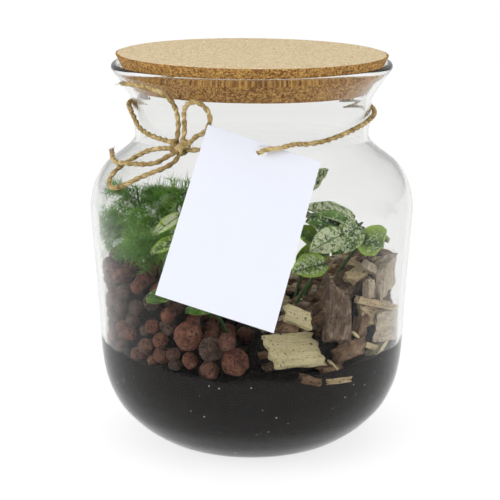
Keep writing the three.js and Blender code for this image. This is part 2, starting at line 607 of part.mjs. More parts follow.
FRONDS.forEach((made, i) => {
  const body = frond(made, "fern_" + made.name, i + 1);
  place("fern_frond_" + made.name, mainBody(body.intersect(room)), 0x3c7a2c, 0.7);
});

// A point on the jar's outside, lifted off it: angle from the front, height and lift
function onJar(angle, z, lift = TWINE_LIFT) {
  const stops = JAR_OUTSIDE.slice(3);
  let base = z;
  let n = [1, 0];
  for (let k = 0; k < 4; k++) {
    const slope = (between(base + 1, stops.map(([r, h]) => [h, r])) - between(base - 1,
      stops.map(([r, h]) => [h, r]))) / 2;
    n = [1 / Math.hypot(1, slope), -slope / Math.hypot(1, slope)];
    base = z - n[1] * lift;
  }
  return polar(angle, between(base, stops.map(([r, h]) => [h, r])) + n[0] * lift, z);
}
const route = (list) => list.map((p) => onJar(...p));

// The knot of the bow, with a slanting turn over it
const KNOT = { angle: -33.6, height: 160.6, lift: 3.3, half: [4.6, 2.7, 4] };
const knotCentre = onJar(KNOT.angle, KNOT.height, KNOT.lift);
function knotBall(margin) {
  const half = KNOT.half.map((h) => h + margin);
  return solid(new THREE.IcosahedronGeometry(1, 1).scale(...half).rotateZ(KNOT.angle * RAD)
    .translate(...knotCentre.toArray()));
}
place("twine_knot", knotBall(0), 0xb8965a, 0.95);

// The twine's stretches, each along the glass from the knot, by angle, height and lift
const TWINE_ROUTES = {
  ear_right: {
    steps: 11,
    points: [[-32.2, 163.4, 2.6], [-31.3, 168], [-31.2, 173], [-30.2, 178.6], [-26.8, 182.6, 2],
      [-22.6, 183.6, 2.2], [-19.6, 181, 2.2], [-18.4, 176.6, 2], [-19.2, 171.8, 2], [-21.8, 168.4, 2],
      [-24.6, 166.8, 2], [-27, 164.6, 2.6], [-29.6, 161.8, 3.2]],
  },
  tail_upper: {
    steps: 8,
    points: [[-35.4, 163.4, 2.6], [-34.8, 168], [-34.6, 173.4], [-34.6, 180], [-36, 185, 2], [-39.6, 187.8, 2.4],
      [-45.2, 189, 2.9], [-51.6, 189.4, 3.3], [-58, 189, 3.2]],
  },
  ear_left: {
    steps: 14,
    points: [[-37.4, 159.6, 2.6], [-42, 158.9], [-48.1, 157.9], [-54.5, 156], [-58.8, 153.2], [-61.6, 149.8],
      [-63.1, 146.2], [-63, 142.4], [-60.6, 139.6], [-56.4, 139.2], [-51, 142], [-46.5, 145.4], [-42.2, 148.3],
      [-38, 150.7], [-35, 153.6], [-33.6, 157.5, 2.4]],
  },
  tail_left: {
    steps: 7,
    points: [[-36.4, 157.6, 3], [-39.8, 155.4, 2.2], [-43.2, 152.6, 2], [-48, 151.2, 2.2], [-54, 150.6, 3],
      [-60.5, 150.2, 4.8], [-66.5, 150.4, 4.4], [-73, 151, 1.9]],
  },
};
const jute = [0xb8965a, 0.95];
function twine(name, points, steps) {
  const made = bar(points, TWINE / 2, 8, steps).subtract(knotBall(GAP));
  place("twine_" + name, mainBody(made), ...jute);
}
for (const [name, { steps, points }] of Object.entries(TWINE_ROUTES)) twine(name, route(points), steps);

// The neck loop: from the knot behind the tag and out through its hole, then round the neck to the knot
const holeCentre = v3(TAG_AT);
const tagTurn = new THREE.Euler(TAG_TURN.lean * RAD, TAG_TURN.roll * RAD, TAG_TURN.yaw * RAD, "ZXY");
const tagOut = new THREE.Vector3(0, -1, 0).applyEuler(tagTurn);
const throughHole = (sideways, out) =>
  holeCentre.clone().add(new THREE.Vector3(sideways, 0, 0)).addScaledVector(tagOut, out);
const NECK_FRONT = [
  ...route([[-30, 159.4, 2.4], [-24, 160], [-17, 160.4], [-9, 160.1]]),
  throughHole(-3.4, -2.9), throughHole(-1.2, -1.5), throughHole(1.2, 1.5), throughHole(3, 2.6),
  ...route([[11.4, 162.2, 6.5], [13.5, 162.8, 6.1], [15.6, 163.1, 5.7], [18, 163.3, 4.2], [21, 163, 2.7],
    [24.5, 162.6]]),
];
const NECK_BACK = route([[25, 162.6], [31, 162.9], [37.6, 163.7], [50.4, 166], [68, 168.6], [90, 170.4],
  [115, 171.6], [140, 172.4], [165, 173], [190, 173.4], [215, 173.8], [240, 174], [265, 173.8], [284, 173],
  [291, 169.6], [296, 166.2], [305, 164], [314, 163], [321.4, 162.6, 2.7]]);
twine("neck_front", NECK_FRONT, 21);
twine("neck_back", NECK_BACK, 24);

// The tag: a plain white card with a punched hole, leaning from the twine on the jar's shoulder
const card = new THREE.Shape([
  new THREE.Vector2(-TAG.fromLeft, TAG.fromTop),
  new THREE.Vector2(-TAG.fromLeft, TAG.fromTop - TAG.height),
  new THREE.Vector2(TAG.width - TAG.fromLeft, TAG.fromTop - TAG.height),
  new THREE.Vector2(TAG.width - TAG.fromLeft, TAG.fromTop),
]);
card.holes.push(new THREE.Path().absarc(0, 0, TAG.hole / 2, 0, 2 * Math.PI, true));
const tagMatrix = new THREE.Matrix4().makeRotationFromEuler(tagTurn).setPosition(holeCentre);
const tagSolid = solid(
  new THREE.ExtrudeGeometry(card, { depth: TAG.thickness, bevelEnabled: false, curveSegments: 8 })
    .translate(0, 0, -TAG.thickness / 2)
    .rotateX(Math.PI / 2)
    .applyMatrix4(tagMatrix),
);
place("paper_tag", tagSolid, 0xf3f5ff, 0.6);

export default group;
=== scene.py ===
# A planted glass jar: cork lid, potting soil, clay balls, wood chips, an asparagus fern, a mottled leafy
# plant, and a jute twine tied in a bow round the neck with a blank card tag on it.
# Metres, +Z up, the front faces -Y, and the origin is the middle of the jar's foot.
import bmesh
import bpy
import math
from mathutils import Euler, Matrix, Vector, noise


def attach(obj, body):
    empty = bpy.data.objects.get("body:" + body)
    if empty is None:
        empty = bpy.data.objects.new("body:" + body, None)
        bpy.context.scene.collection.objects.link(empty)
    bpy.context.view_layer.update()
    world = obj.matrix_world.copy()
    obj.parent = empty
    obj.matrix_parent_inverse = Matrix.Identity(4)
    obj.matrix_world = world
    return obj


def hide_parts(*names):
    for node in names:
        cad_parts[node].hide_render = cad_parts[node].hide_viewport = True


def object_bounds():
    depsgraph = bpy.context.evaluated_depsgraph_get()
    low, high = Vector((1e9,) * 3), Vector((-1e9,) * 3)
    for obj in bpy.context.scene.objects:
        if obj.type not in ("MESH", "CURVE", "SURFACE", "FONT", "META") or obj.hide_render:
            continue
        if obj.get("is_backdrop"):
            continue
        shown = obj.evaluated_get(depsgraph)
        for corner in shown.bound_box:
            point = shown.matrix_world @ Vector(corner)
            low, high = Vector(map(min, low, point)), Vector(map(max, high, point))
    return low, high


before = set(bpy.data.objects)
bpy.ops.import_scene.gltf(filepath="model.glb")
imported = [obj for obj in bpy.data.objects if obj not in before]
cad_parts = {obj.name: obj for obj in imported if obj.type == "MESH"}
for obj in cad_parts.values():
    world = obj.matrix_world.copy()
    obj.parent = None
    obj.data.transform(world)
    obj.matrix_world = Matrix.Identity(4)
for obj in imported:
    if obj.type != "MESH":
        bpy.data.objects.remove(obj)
cad_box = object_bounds()

# The view: a long lens in front of the jar, a little above the cork, that looks down at the tag
EYE, LENS, LOOK_DOWN = (-0.0009, -0.826, 0.2971), 118.5, 0.237
camera = bpy.data.objects.new("camera", bpy.data.cameras.new("camera"))
bpy.context.scene.collection.objects.link(camera)
camera.data.lens = LENS
camera.location = EYE
camera.rotation_euler = (math.pi / 2 - LOOK_DOWN, 0, 0)
bpy.context.scene.camera = camera


# The glass jar: one piece of clear blown glass with a thick foot, a wide belly, a pinched neck and a
# flared mouth that ends in a rolled bead. Radius and height of its outside, from the foot to the flare.
JAR_OUTSIDE = [
    (0.040, 0), (0.0465, 0.0014), (0.0542, 0.0055), (0.0634, 0.013), (0.0718, 0.024), (0.0774, 0.042),
    (0.0796, 0.078), (0.0815, 0.106), (0.0824, 0.122), (0.0817, 0.1284), (0.0802, 0.134), (0.0776, 0.1393),
    (0.0741, 0.144), (0.0695, 0.1477), (0.0649, 0.151), (0.0615, 0.1541), (0.0593, 0.1575), (0.0594, 0.163),
    (0.060, 0.169), (0.0603, 0.176), (0.0622, 0.180), (0.0648, 0.184), (0.068, 0.189),
]
WALL = 0.0026
FLOOR = 0.0046
RIM_RADIUS = 0.0689
RIM_HEIGHT = 0.1933
RIM_BEAD = 0.0019
# The rim bead's round line, in degrees
BEAD_START, BEAD_END, BEAD_STEP = -40, 200, 20
# Under the foot, from the middle out, and the floor inside, from the wall in
FOOT_UNDER = [(0, 0.0004), (0.02, 0.0004), (0.034, 0.0001)]
FOOT_INSIDE = [(0.052, FLOOR + 0.0016), (0.044, FLOOR + 0.0002), (0.03, FLOOR)]
FLOOR_MIDDLE = [(0.014, FLOOR), (0, FLOOR)]
INSIDE_FROM_RADIUS, INSIDE_FROM_HEIGHT = 0.046, FLOOR + 0.0008
GLASS_GAP = 0.00035
JAR_SECTORS = 168


def smooth(points, steps):
    """A smooth line through points of any dimension, with some steps between each two."""
    line = []
    ends = [points[0], *points, points[-1]]
    for i in range(1, len(points)):
        a, b, c, d = (Vector(p) for p in ends[i - 1 : i + 3])
        for k in range(steps):
            t = k / steps
            bend, twist = 2 * a - 5 * b + 4 * c - d, 3 * b - a - 3 * c + d
            line.append(0.5 * (2 * b + (c - a) * t + bend * t * t + twist * t**3))
    return line + [Vector(points[-1])]


def between(x, stops):
    """The value at x between the stops of a list of pairs."""
    if x <= stops[0][0]:
        return stops[0][1]
    for (x0, y0), (x1, y1) in zip(stops, stops[1:]):
        if x < x1:
            return y0 + (y1 - y0) * (x - x0) / (x1 - x0)
    return stops[-1][1]


def polar(angle, radius, z):
    """A point at an angle in degrees from the front, positive to the right."""
    a = math.radians(angle)
    return Vector((radius * math.sin(a), -radius * math.cos(a), z))


def draw(i):
    """A repeatable number from 0 to 1 for each number."""
    s = math.sin(i * 127.1 + 311.7) * 43758.5453
    return s - math.floor(s)


def inset(line, depth):
    """A line of radius and height moved inwards, to its left, by a depth."""
    moved = []
    for i, p in enumerate(line):
        along = (line[min(i + 1, len(line) - 1)] - line[max(i - 1, 0)]).normalized()
        moved.append(p + Vector((-along.y, along.x)) * depth)
    return moved


class Reading:
    """A value that changes over a surface. Arithmetic on it adds the sheet's maths."""

    def __init__(self, sheet, socket):
        self.sheet, self.socket = sheet, socket

    def maths(self, operation, *values):
        return self.sheet.node("ShaderNodeMath", {"operation": operation}, dict(enumerate(values)))

    def __add__(self, other):
        return self.maths("ADD", self, other)

    def __sub__(self, other):
        return self.maths("SUBTRACT", self, other)

    def __rsub__(self, other):
        return self.maths("SUBTRACT", other, self)

    def __mul__(self, other):
        return self.maths("MULTIPLY", self, other)

    def also(self, name):
        """Another output of the same node."""
        return Reading(self.sheet, self.socket.node.outputs[name])

    __radd__ = __add__
    __rmul__ = __mul__


class Sheet:
    """A sheet of nodes that is built from readings."""

    def node(self, kind, settings={}, sockets={}, output=0):
        """A node of a kind: its settings first, then its sockets' values or readings."""
        node = self.tree.nodes.new(kind)
        stops = settings.get("stops")
        for key, value in settings.items():
            if key != "stops":
                setattr(node, key, value)
        if stops:
            ramp = node.color_ramp
            while len(ramp.elements) < len(stops):
                ramp.elements.new(0.5)
            for element, (place, colour) in zip(ramp.elements, stops):
                element.position = place
                element.color = (*colour, 1)
        for key, value in sockets.items():
            for one in value if isinstance(value, list) else [value]:
                if isinstance(one, Reading):
                    self.tree.links.new(one.socket, node.inputs[key])
                else:
                    node.inputs[key].default_value = one
        return Reading(self, node.outputs[output]) if node.outputs else node


class Finish(Sheet):
    """A material."""

    def __init__(self, name):
        self.material = bpy.data.materials.new(name)
        self.material.use_nodes = True
        self.tree = self.material.node_tree
        self.tree.nodes.clear()

    def stretched(self, at, scale, turn=(0, 0, 0)):
        """A place, stretched and turned for a pattern."""
        return self.node("ShaderNodeMapping", {}, {"Vector": at, "Scale": scale, "Rotation": turn})

    def place(self, scale=(1, 1, 1), turn=(0, 0, 0)):
        """The place on the object, stretched and turned for a pattern."""
        return self.stretched(self.node("ShaderNodeTexCoord", output="Object"), scale, turn)

    def on_surface(self):
        """The place in the piece's own UV map."""
        return self.node("ShaderNodeUVMap", {"uv_map": "surface"})

    def number(self, vector, k):
        """One of a vector's three numbers."""
        return self.node("ShaderNodeSeparateXYZ", {}, {"Vector": vector}, k)

    def clouds(self, at, scale, detail=3.0, roughness=0.55, warp=0.0):
        """Soft random patches from 0 to 1."""
        sockets = {"Vector": at, "Scale": scale, "Detail": detail, "Roughness": roughness}
        return self.node("ShaderNodeTexNoise", {}, {**sockets, "Distortion": warp})

    def cells(self, at, scale, feature="F1", output="Distance", randomness=1.0):
        """Grains of a size: the distance to each one's middle or edge, or its own colour."""
        sockets = {"Vector": at, "Scale": scale, "Randomness": randomness}
        return self.node("ShaderNodeTexVoronoi", {"feature": feature}, sockets, output)

    def ramp(self, value, *stops):
        """A colour from a value, between stops."""
        return self.node("ShaderNodeValToRGB", {"stops": stops}, {"Fac": value})

    def blend(self, share, first, second, mode="MIX"):
        """Two colours mixed by a share."""
        settings = {"data_type": "RGBA", "blend_type": mode}
        colours = [c if isinstance(c, Reading) else (*c, 1) for c in (first, second)]
        return self.node("ShaderNodeMix", settings, {"Factor": share, 6: colours[0], 7: colours[1]}, 2)

    def step(self, value, low, high):
        """0 below low and 1 above high, smooth between."""
        settings = {"interpolation_type": "SMOOTHSTEP"}
        return self.node("ShaderNodeMapRange", settings, {"Value": value, "From Min": low, "From Max": high})

    def bump(self, height, distance, strength=1.0, normal=None):
        """The normal of a surface raised by a height."""
        sockets = {"Height": height, "Distance": distance, "Strength": strength}
        if normal:
            sockets["Normal"] = normal
        return self.node("ShaderNodeBump", {}, sockets)

    def surface(self, **sockets):
        """The principled shader, with its sockets by name, as the finish."""
        named = {key.replace("_", " "): value for key, value in sockets.items()}
        return self.cover(self.node("ShaderNodeBsdfPrincipled", {}, named))

    def cover(self, shader):
        """Sets a shader on the material's output."""
        out = self.node("ShaderNodeOutputMaterial")
        self.tree.links.new(shader.socket, out.inputs["Surface"])
        return self.material


def meshed(name, vertices, faces, material, uv=None):
    """An object with a mesh and its finish. uv gives a pair for each vertex."""
    mesh = bpy.data.meshes.new(name)
    mesh.from_pydata([tuple(v) for v in vertices], [], faces)
    mesh.polygons.foreach_set("use_smooth", [True] * len(mesh.polygons))
    if uv:
        layer = mesh.uv_layers.new(name="surface")
        for loop in mesh.loops:
            layer.data[loop.index].uv = uv[loop.vertex_index]
    mesh.materials.append(material)
    return bpy.data.objects.new(name, mesh)


def finished(made, slot, *nodes):
    """Puts a made object in the scene, on the jar's body, in place of CAD nodes. Its slot is not used."""
    if made.name not in bpy.context.scene.collection.objects:
        bpy.context.scene.collection.objects.link(made)
    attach(made, "root")
    if nodes:
        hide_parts(*nodes)
    return made


def piece(name, vertices, faces, material, slot, *nodes, uv=None):
    """One mesh piece that rides with the jar and stands for CAD nodes."""
    return finished(meshed(name, vertices, faces, material, uv), slot, *nodes)


def revolved(sectors, rings, point):
    """Vertices and faces of a closed skin round the axis, pole to pole. point gives radius and height."""
    vertices = [polar(0, 0, point(0, 0)[1])]
    for j in range(1, rings):
        for i in range(sectors):
            radius, z = point(360 * i / sectors, j)
            vertices.append(polar(360 * i / sectors, radius, z))
    vertices.append(polar(0, 0, point(0, rings)[1]))
    last = len(vertices) - 1

    def ring(j, i):
        return 1 + (j - 1) * sectors + i % sectors

    faces = [(0, ring(1, i + 1), ring(1, i)) for i in range(sectors)]
    for j in range(1, rings - 1):
        faces += [(ring(j, i), ring(j, i + 1), ring(j + 1, i + 1), ring(j + 1, i)) for i in range(sectors)]
    faces += [(last, ring(rings - 1, i), ring(rings - 1, i + 1)) for i in range(sectors)]
    return vertices, faces


jar_wall = smooth(JAR_OUTSIDE, 5)
bead = [
    Vector((RIM_RADIUS + RIM_BEAD * math.cos(a), RIM_HEIGHT + RIM_BEAD * math.sin(a)))
    for a in (math.radians(d) for d in range(BEAD_START, BEAD_END, BEAD_STEP))
]
glass_inside = [p for p in inset(jar_wall, WALL) if p.x > INSIDE_FROM_RADIUS and p.y > INSIDE_FROM_HEIGHT]
foot = smooth([glass_inside[0], *FOOT_INSIDE], 4)
jar_line = [Vector(p) for p in FOOT_UNDER] + jar_wall + bead
jar_line += glass_inside[::-1] + foot[1:] + [Vector(p) for p in FLOOR_MIDDLE]

clear_glass = Finish("clear_glass")
slant = clear_glass.node("ShaderNodeLayerWeight", {}, {"Blend": 0.5}, "Facing")
edge_grey = clear_glass.ramp(
    slant,
    (0.4, (0.885, 0.885, 0.878)), (0.7, (0.83, 0.84, 0.82)), (0.9, (0.72, 0.74, 0.71)),
    (1.0, (0.72, 0.74, 0.71)),
)
glass_body = clear_glass.node("ShaderNodeBsdfPrincipled", {}, {
    "Base Color": edge_grey, "Roughness": 0.0, "IOR": 1.3, "Transmission Weight": 1.0,
    "Specular Tint": (0.1, 0.1, 0.1, 1),
})
lamp_path = clear_glass.node("ShaderNodeLightPath", output="Is Shadow Ray")
see_through = clear_glass.node("ShaderNodeBsdfTransparent", {}, {"Color": (0.95, 0.95, 0.945, 1)})
clear_glass.cover(
    clear_glass.node("ShaderNodeMixShader", {}, {"Fac": lamp_path, 1: glass_body, 2: see_through})
)
jar_skin = revolved(JAR_SECTORS, len(jar_line) - 1, lambda angle, j: jar_line[j])
piece("glass_jar_blown", *jar_skin, clear_glass.material, "jar_glass", "glass_jar")


# The soil: dark potting soil that fills about a third of the jar. It is pressed against the glass, crumbly
# on top, with short bits of fibre and white grains of perlite in it.
SOIL_FRONT, SOIL_SIDES, SOIL_MIDDLE, SOIL_BUMPS = 0.0495, 0.0052, 0.004, 0.0008
SOIL_FRONT_SPAN, SOIL_SLOPE_END, SOIL_RADIUS, SOIL_WALL = 38, 0.06, 0.078, 0.073
SOIL_SECTORS, SOIL_WALL_RINGS, SOIL_TOP_RINGS = 300, 60, 40
SOIL_FLAT, SOIL_FLAT_RINGS = 0.02, 2
WALL_CRUMBS, TOP_CRUMBS = 0.0009, 0.0022
# The soil reaches this far into the glass, so that it looks wet and pressed against it
WET_DEPTH = 0.0001
inner_line = [Vector((SOIL_FLAT, FLOOR))] + foot[::-1] + glass_inside[1:]
room_line = inset(inner_line, GLASS_GAP)
wet_line = inset(inner_line, -WET_DEPTH)
wet_reach = [0]
for a, b in zip(wet_line, wet_line[1:]):
    wet_reach.append(wet_reach[-1] + (b - a).length)


def room_radius(z):
    """The radius that the planting may fill at a height."""
    return between(z, [(p.y, p.x) for p in room_line])


def soil_top(angle, radius):
    """The height of the soil's uneven top."""
    side = 1 - math.exp(-((abs((angle + 540) % 360 - 180) / SOIL_FRONT_SPAN) ** 2))
    p = polar(angle, radius, 0)
    bump = math.sin(p.x * 210 + 1) * math.cos(p.y * 170) + 0.5 * math.sin(p.x * 400 - p.y * 330)
    inner = 1 - min(1, radius / SOIL_RADIUS) ** 2
    slope = min(1, radius / SOIL_SLOPE_END)
    return SOIL_FRONT + SOIL_SIDES * side * slope + SOIL_MIDDLE * inner + SOIL_BUMPS * bump


def soil_skin(angle, j):
    """Radius and height of the soil's skin at a ring: up the wall, then over the top to the middle."""
    top = soil_top(angle, SOIL_WALL)
    if j <= SOIL_FLAT_RINGS:
        return SOIL_FLAT * j / SOIL_FLAT_RINGS, FLOOR - WET_DEPTH
    if j <= SOIL_WALL_RINGS:
        full = between(top, list(zip((p.y for p in wet_line), wet_reach)))
        reach = full * (j - SOIL_FLAT_RINGS) / (SOIL_WALL_RINGS - SOIL_FLAT_RINGS)
        radius, z = (between(reach, list(zip(wet_reach, values))) for values in zip(*wet_line))
        crumbs = noise.turbulence(polar(angle, radius, z) * 420, 3, False)
        return radius - WALL_CRUMBS * max(0, crumbs - 0.62), z
    radius = room_radius(top) * (1 - (j - SOIL_WALL_RINGS) / SOIL_TOP_RINGS)
    crumbs = noise.turbulence(polar(angle, radius, 0) * 260, 3, False) - 0.4
    calm_at_wall = min(1, (SOIL_WALL + 0.001 - radius) / 0.004)
    return radius, soil_top(angle, radius) + TOP_CRUMBS * crumbs * calm_at_wall


class Rule(Sheet):
    """A rule of Geometry Nodes that grows what repeats, with named inputs for its sizes."""

    KINDS = {float: "NodeSocketFloat", int: "NodeSocketInt", bpy.types.Material: "NodeSocketMaterial"}

    def __init__(self, name, **inputs):
        self.tree = bpy.data.node_groups.new(name, "GeometryNodeTree")
        self.tree.interface.new_socket("Geometry", in_out="OUTPUT", socket_type="NodeSocketGeometry")
        self.tree.interface.new_socket("Geometry", in_out="INPUT", socket_type="NodeSocketGeometry")
        self.values = {}
        for key, value in inputs.items():
            kind = self.KINDS.get(type(value), "NodeSocketMaterial")
            socket = self.tree.interface.new_socket(key.replace("_", " "), in_out="INPUT", socket_type=kind)
            self.values[socket.identifier] = value
        self.entry = self.tree.nodes.new("NodeGroupInput")

    def given(self, name):
        """One of the rule's inputs."""
        return Reading(self, self.entry.outputs[name])

    def chance(self, low, high, seed, kind="FLOAT"):
        """A random number, or vector, between two."""
        first, output = (0, 0) if kind == "FLOAT_VECTOR" else (2, 1)
        sockets = {first: low, first + 1: high, 8: seed}
        return self.node("FunctionNodeRandomValue", {"data_type": kind}, sockets, output)

    def strewn(self, mesh, density, seed):
        """Points strewn over a mesh."""
        sockets = {"Mesh": mesh, "Density": density, "Seed": seed}
        return self.node("GeometryNodeDistributePointsOnFaces", {"distribute_method": "RANDOM"}, sockets)

    def on_points(self, points, one, rotation, scale):
        """A copy of one thing on each point."""
        sockets = {"Points": points, "Instance": one, "Rotation": rotation, "Scale": scale}
        return self.node("GeometryNodeInstanceOnPoints", {}, sockets)

    def spun(self, copies, rotation):
        """The copies, each turned further."""
        return self.node("GeometryNodeRotateInstances", {}, {"Instances": copies, "Rotation": rotation})

    def drawn_along(self, curve, radius, caps=False):
        """A three-sided wire along a curve."""
        profile = self.node("GeometryNodeCurvePrimitiveCircle", {}, {"Resolution": 3, "Radius": radius})
        sockets = {"Curve": curve, "Profile Curve": profile, "Fill Caps": caps}
        return self.node("GeometryNodeCurveToMesh", {}, sockets)

    def joined(self, *parts):
        """Several parts as one."""
        return self.node("GeometryNodeJoinGeometry", {}, {"Geometry": list(parts)})

    def ends(self, geometry, material):
        """Makes what was grown real, with its material, as the rule's result."""
        real = self.node("GeometryNodeRealizeInstances", {}, {"Geometry": geometry})
        made = self.node("GeometryNodeSetMaterial", {}, {"Geometry": real, "Material": material})
        out = self.tree.nodes.new("NodeGroupOutput")
        self.tree.links.new(made.socket, out.inputs[0])

    def grow(self, made):
        """Grows the rule on an object and leaves it as a plain mesh."""
        if made.name not in bpy.context.scene.collection.objects:
            bpy.context.scene.collection.objects.link(made)
        grower = made.modifiers.new("growth", "NODES")
        grower.node_group = self.tree
        for key, value in self.values.items():
            grower[key] = value
        now = bpy.context.evaluated_depsgraph_get()
        mesh = bpy.data.meshes.new_from_object(made.evaluated_get(now))
        made.modifiers.clear()
        made.data = mesh
        return made


potting_soil = Finish("potting_soil")
ground = potting_soil.place()
lumps = potting_soil.clouds(ground, 260, 6, 0.7)
crumb = potting_soil.cells(ground, 700)
strands = potting_soil.clouds(potting_soil.place((1, 1, 4), (0.5, 0.2, 0)), 420, 3, 0.6, 1.5)
soil_colour = potting_soil.ramp(
    lumps, (0.35, (0.003, 0.0025, 0.0022)), (0.58, (0.009, 0.007, 0.006)), (0.8, (0.03, 0.022, 0.017))
)
strand_share = potting_soil.step(strands, 0.67, 0.75) * 0.5
soil_colour = potting_soil.blend(strand_share, soil_colour, (0.09, 0.058, 0.036))
potting_soil.surface(
    Base_Color=soil_colour,
    Roughness=potting_soil.step(lumps, 0.2, 0.8) * 0.3 + 0.62,
    Normal=potting_soil.bump(lumps + crumb * 0.6, 0.0012, 0.9),
)
soil_mesh = revolved(SOIL_SECTORS, SOIL_WALL_RINGS + SOIL_TOP_RINGS, soil_skin)
piece("potting_soil", *soil_mesh, potting_soil.material, "potting_soil", "soil")

white_grain = Finish("perlite")
grain_patches = white_grain.clouds(white_grain.place(), 900)
grain_colour = white_grain.blend(grain_patches, (0.5, 0.47, 0.42), (0.8, 0.78, 0.74))
white_grain.surface(Base_Color=grain_colour, Roughness=0.8)
perlite = Rule(
    "perlite grains", Grains_per_area=2400.0, Grain_size=0.0006, Seed=11, Material=white_grain.material,
)
spread = perlite.strewn(perlite.given("Geometry"), perlite.given("Grains per area"), perlite.given("Seed"))
grain = perlite.node(
    "GeometryNodeMeshIcoSphere", {}, {"Radius": perlite.given("Grain size"), "Subdivisions": 2}
)
grain_scale = perlite.chance((0.25, 0.25, 0.3), (1.0, 0.9, 0.7), 3, "FLOAT_VECTOR")
grain_turn = perlite.chance((0, 0, 0), (6, 6, 6), 4, "FLOAT_VECTOR")
perlite.ends(perlite.on_points(spread, grain, grain_turn, grain_scale), perlite.given("Material"))
PERLITE_FROM, PERLITE_OUT = 0.02, 0.0003
PERLITE_SECTORS, PERLITE_RINGS = 90, 30


def perlite_skin(angle, j):
    """Radius and height of the skin that the grains lie on, just inside the glass's inner face."""
    z = PERLITE_FROM + (soil_top(angle, 0.072) - 0.001 - PERLITE_FROM) * j / PERLITE_RINGS
    return (room_radius(z) + PERLITE_OUT) if 0 < j < PERLITE_RINGS else 0, z


skin_points, skin_faces = revolved(PERLITE_SECTORS, PERLITE_RINGS, perlite_skin)
perlite_base = bpy.data.meshes.new("perlite")
perlite_base.from_pydata([tuple(v) for v in skin_points], [], [f for f in skin_faces if len(f) == 4])
finished(perlite.grow(bpy.data.objects.new("perlite_grains", perlite_base)), "potting_soil")


# The clay balls: fired expanded clay, 7 to 16 mm, heaped on the left and against the front glass. Each is
# a brown red lump with a rough pitted crust, and soil has run down between them.
HEAP_FOOT = 0.060
# The heap's height at the glass, by the angle round the jar
CLAY_WALL = [
    (-172, 0.058), (-150, 0.072), (-120, 0.087), (-90, 0.094), (-65, 0.094), (-50, 0.091), (-37, 0.085),
    (-27, 0.075), (-18, 0.065), (-9, 0.057),
]
# The balls seen best against the front glass: angle, height, diameter
FRONT_BALLS = [
    (-6.6, 0.0585, 0.0146), (-16.2, 0.0648, 0.0126), (-26.6, 0.070, 0.0156), (-16.9, 0.0543, 0.0106),
    (-24.5, 0.0585, 0.0086), (-9.6, 0.0695, 0.0094), (-31.5, 0.0605, 0.0074), (-38, 0.066, 0.0086),
    (-37.5, 0.0586, 0.0086), (-46, 0.061, 0.009), (-30.8, 0.0555, 0.0066), (-41.5, 0.0552, 0.006),
]
# The last of them are small, and plainer
PLAIN_FRONT_BALLS = 2
HEAP_MIDDLE, HEAP_RUN = 0.014, 0.048
# The gap to the glass, and how near two balls may lie, as a share of both their diameters
BALL_GAP, BALL_NEAR = 0.0001, 0.44
CLAY_START, CLAY_END = -168, -10
LOW_ROW_BALLS, LOW_ROW_START, LOW_ROW_STEP = 21, -45, 6.1
# Rows of balls: lowest and highest height, rise to the next row, first angle, stagger, and step
WALL_ROWS = (0.0522, 0.099, 0.006708, CLAY_START, 3.2, 5.6)
INNER_ROWS = (0.0595, 0.096, 0.0042, CLAY_START + 2, 2.9, 2.4)
INNER_GAP = 0.0036
TOP_ROWS, TOP_ROW_BALLS, TOP_STEP, TOP_CORNER = 17, 16, 0.0042, (-0.071, -0.066)
CORE_RADII = [0.016 + 0.003 * j for j in range(18)]
CORE_SECTORS = 60


def heap(wall_heights, angle, radius):
    """The height of a heap that slopes down from the glass to the middle."""
    t = min(1, max(0, (radius - HEAP_MIDDLE) / HEAP_RUN))
    return HEAP_FOOT + (between(angle, wall_heights) - HEAP_FOOT) * t**0.9


def ball_shape(steps):
    """A round ball's vertices and faces."""
    mesh = bpy.data.meshes.new("ball")
    made = bmesh.new()
    bmesh.ops.create_icosphere(made, subdivisions=steps, radius=1)
    made.to_mesh(mesh)
    made.free()
    return [v.co.copy() for v in mesh.vertices], [tuple(f.vertices) for f in mesh.polygons]


FINE_BALL, PLAIN_BALL = ball_shape(4), ball_shape(3)


def pitted_ball(centre, diameter, seed, shape):
    """A clay ball's vertices: out of round, with a rough crust and pits."""
    shift = Vector((seed * 3.1, seed * 1.7, seed * 0.9))
    squash = Vector((1, 0.9 + 0.16 * draw(seed + 0.3), 0.9 + 0.14 * draw(seed + 0.7)))
    turn = Euler((6 * draw(seed + 11), 6 * draw(seed + 12), 6 * draw(seed + 13))).to_matrix()
    made = []
    for v in shape[0]:
        form = 0.1 * noise.noise(v * 1.3 + shift)
        crust = 0.06 * noise.turbulence(v * 2.6 + shift, 3, False)
        pits = -0.16 * max(0, noise.noise(v * 5.5 + shift) - 0.2)
        pits -= 0.1 * max(0, noise.noise(v * 10 + shift) - 0.3)
        crushed = Vector(p * q for p, q in zip(v, squash))
        made.append(turn @ crushed * (0.95 + form + crust + pits) * 0.5 * diameter + centre)
    return made


def gathered(parts):
    """Vertices and faces of several parts as one."""
    vertices, faces = [], []
    for points, shapes in parts:
        first = len(vertices)
        vertices += points
        faces += [tuple(first + i for i in face) for face in shapes]
    return vertices, faces


def at_wall(angle, z, diameter):
    """The middle of a ball that lies against the glass."""
    return polar(angle, room_radius(z) - BALL_GAP - diameter / 2, z)


clay_balls = [(at_wall(a, z, d), d) for a, z, d in FRONT_BALLS]


def add_ball(centre, diameter):
    """Lays a ball on the heap where it fits between those that lie there."""
    if all((c - centre).length > BALL_NEAR * (d + diameter) for c, d in clay_balls):
        clay_balls.append((centre, diameter))


def ball_rows(low, high, rise, start, stagger, step):
    """The number, height and angle of each place in staggered rows, one row above the other."""
    row, z = 0, low
    while z < high:
        angle = start + (row % 2) * stagger
        while angle < CLAY_END:
            yield row, z, angle
            angle += step
        z += rise
        row += 1


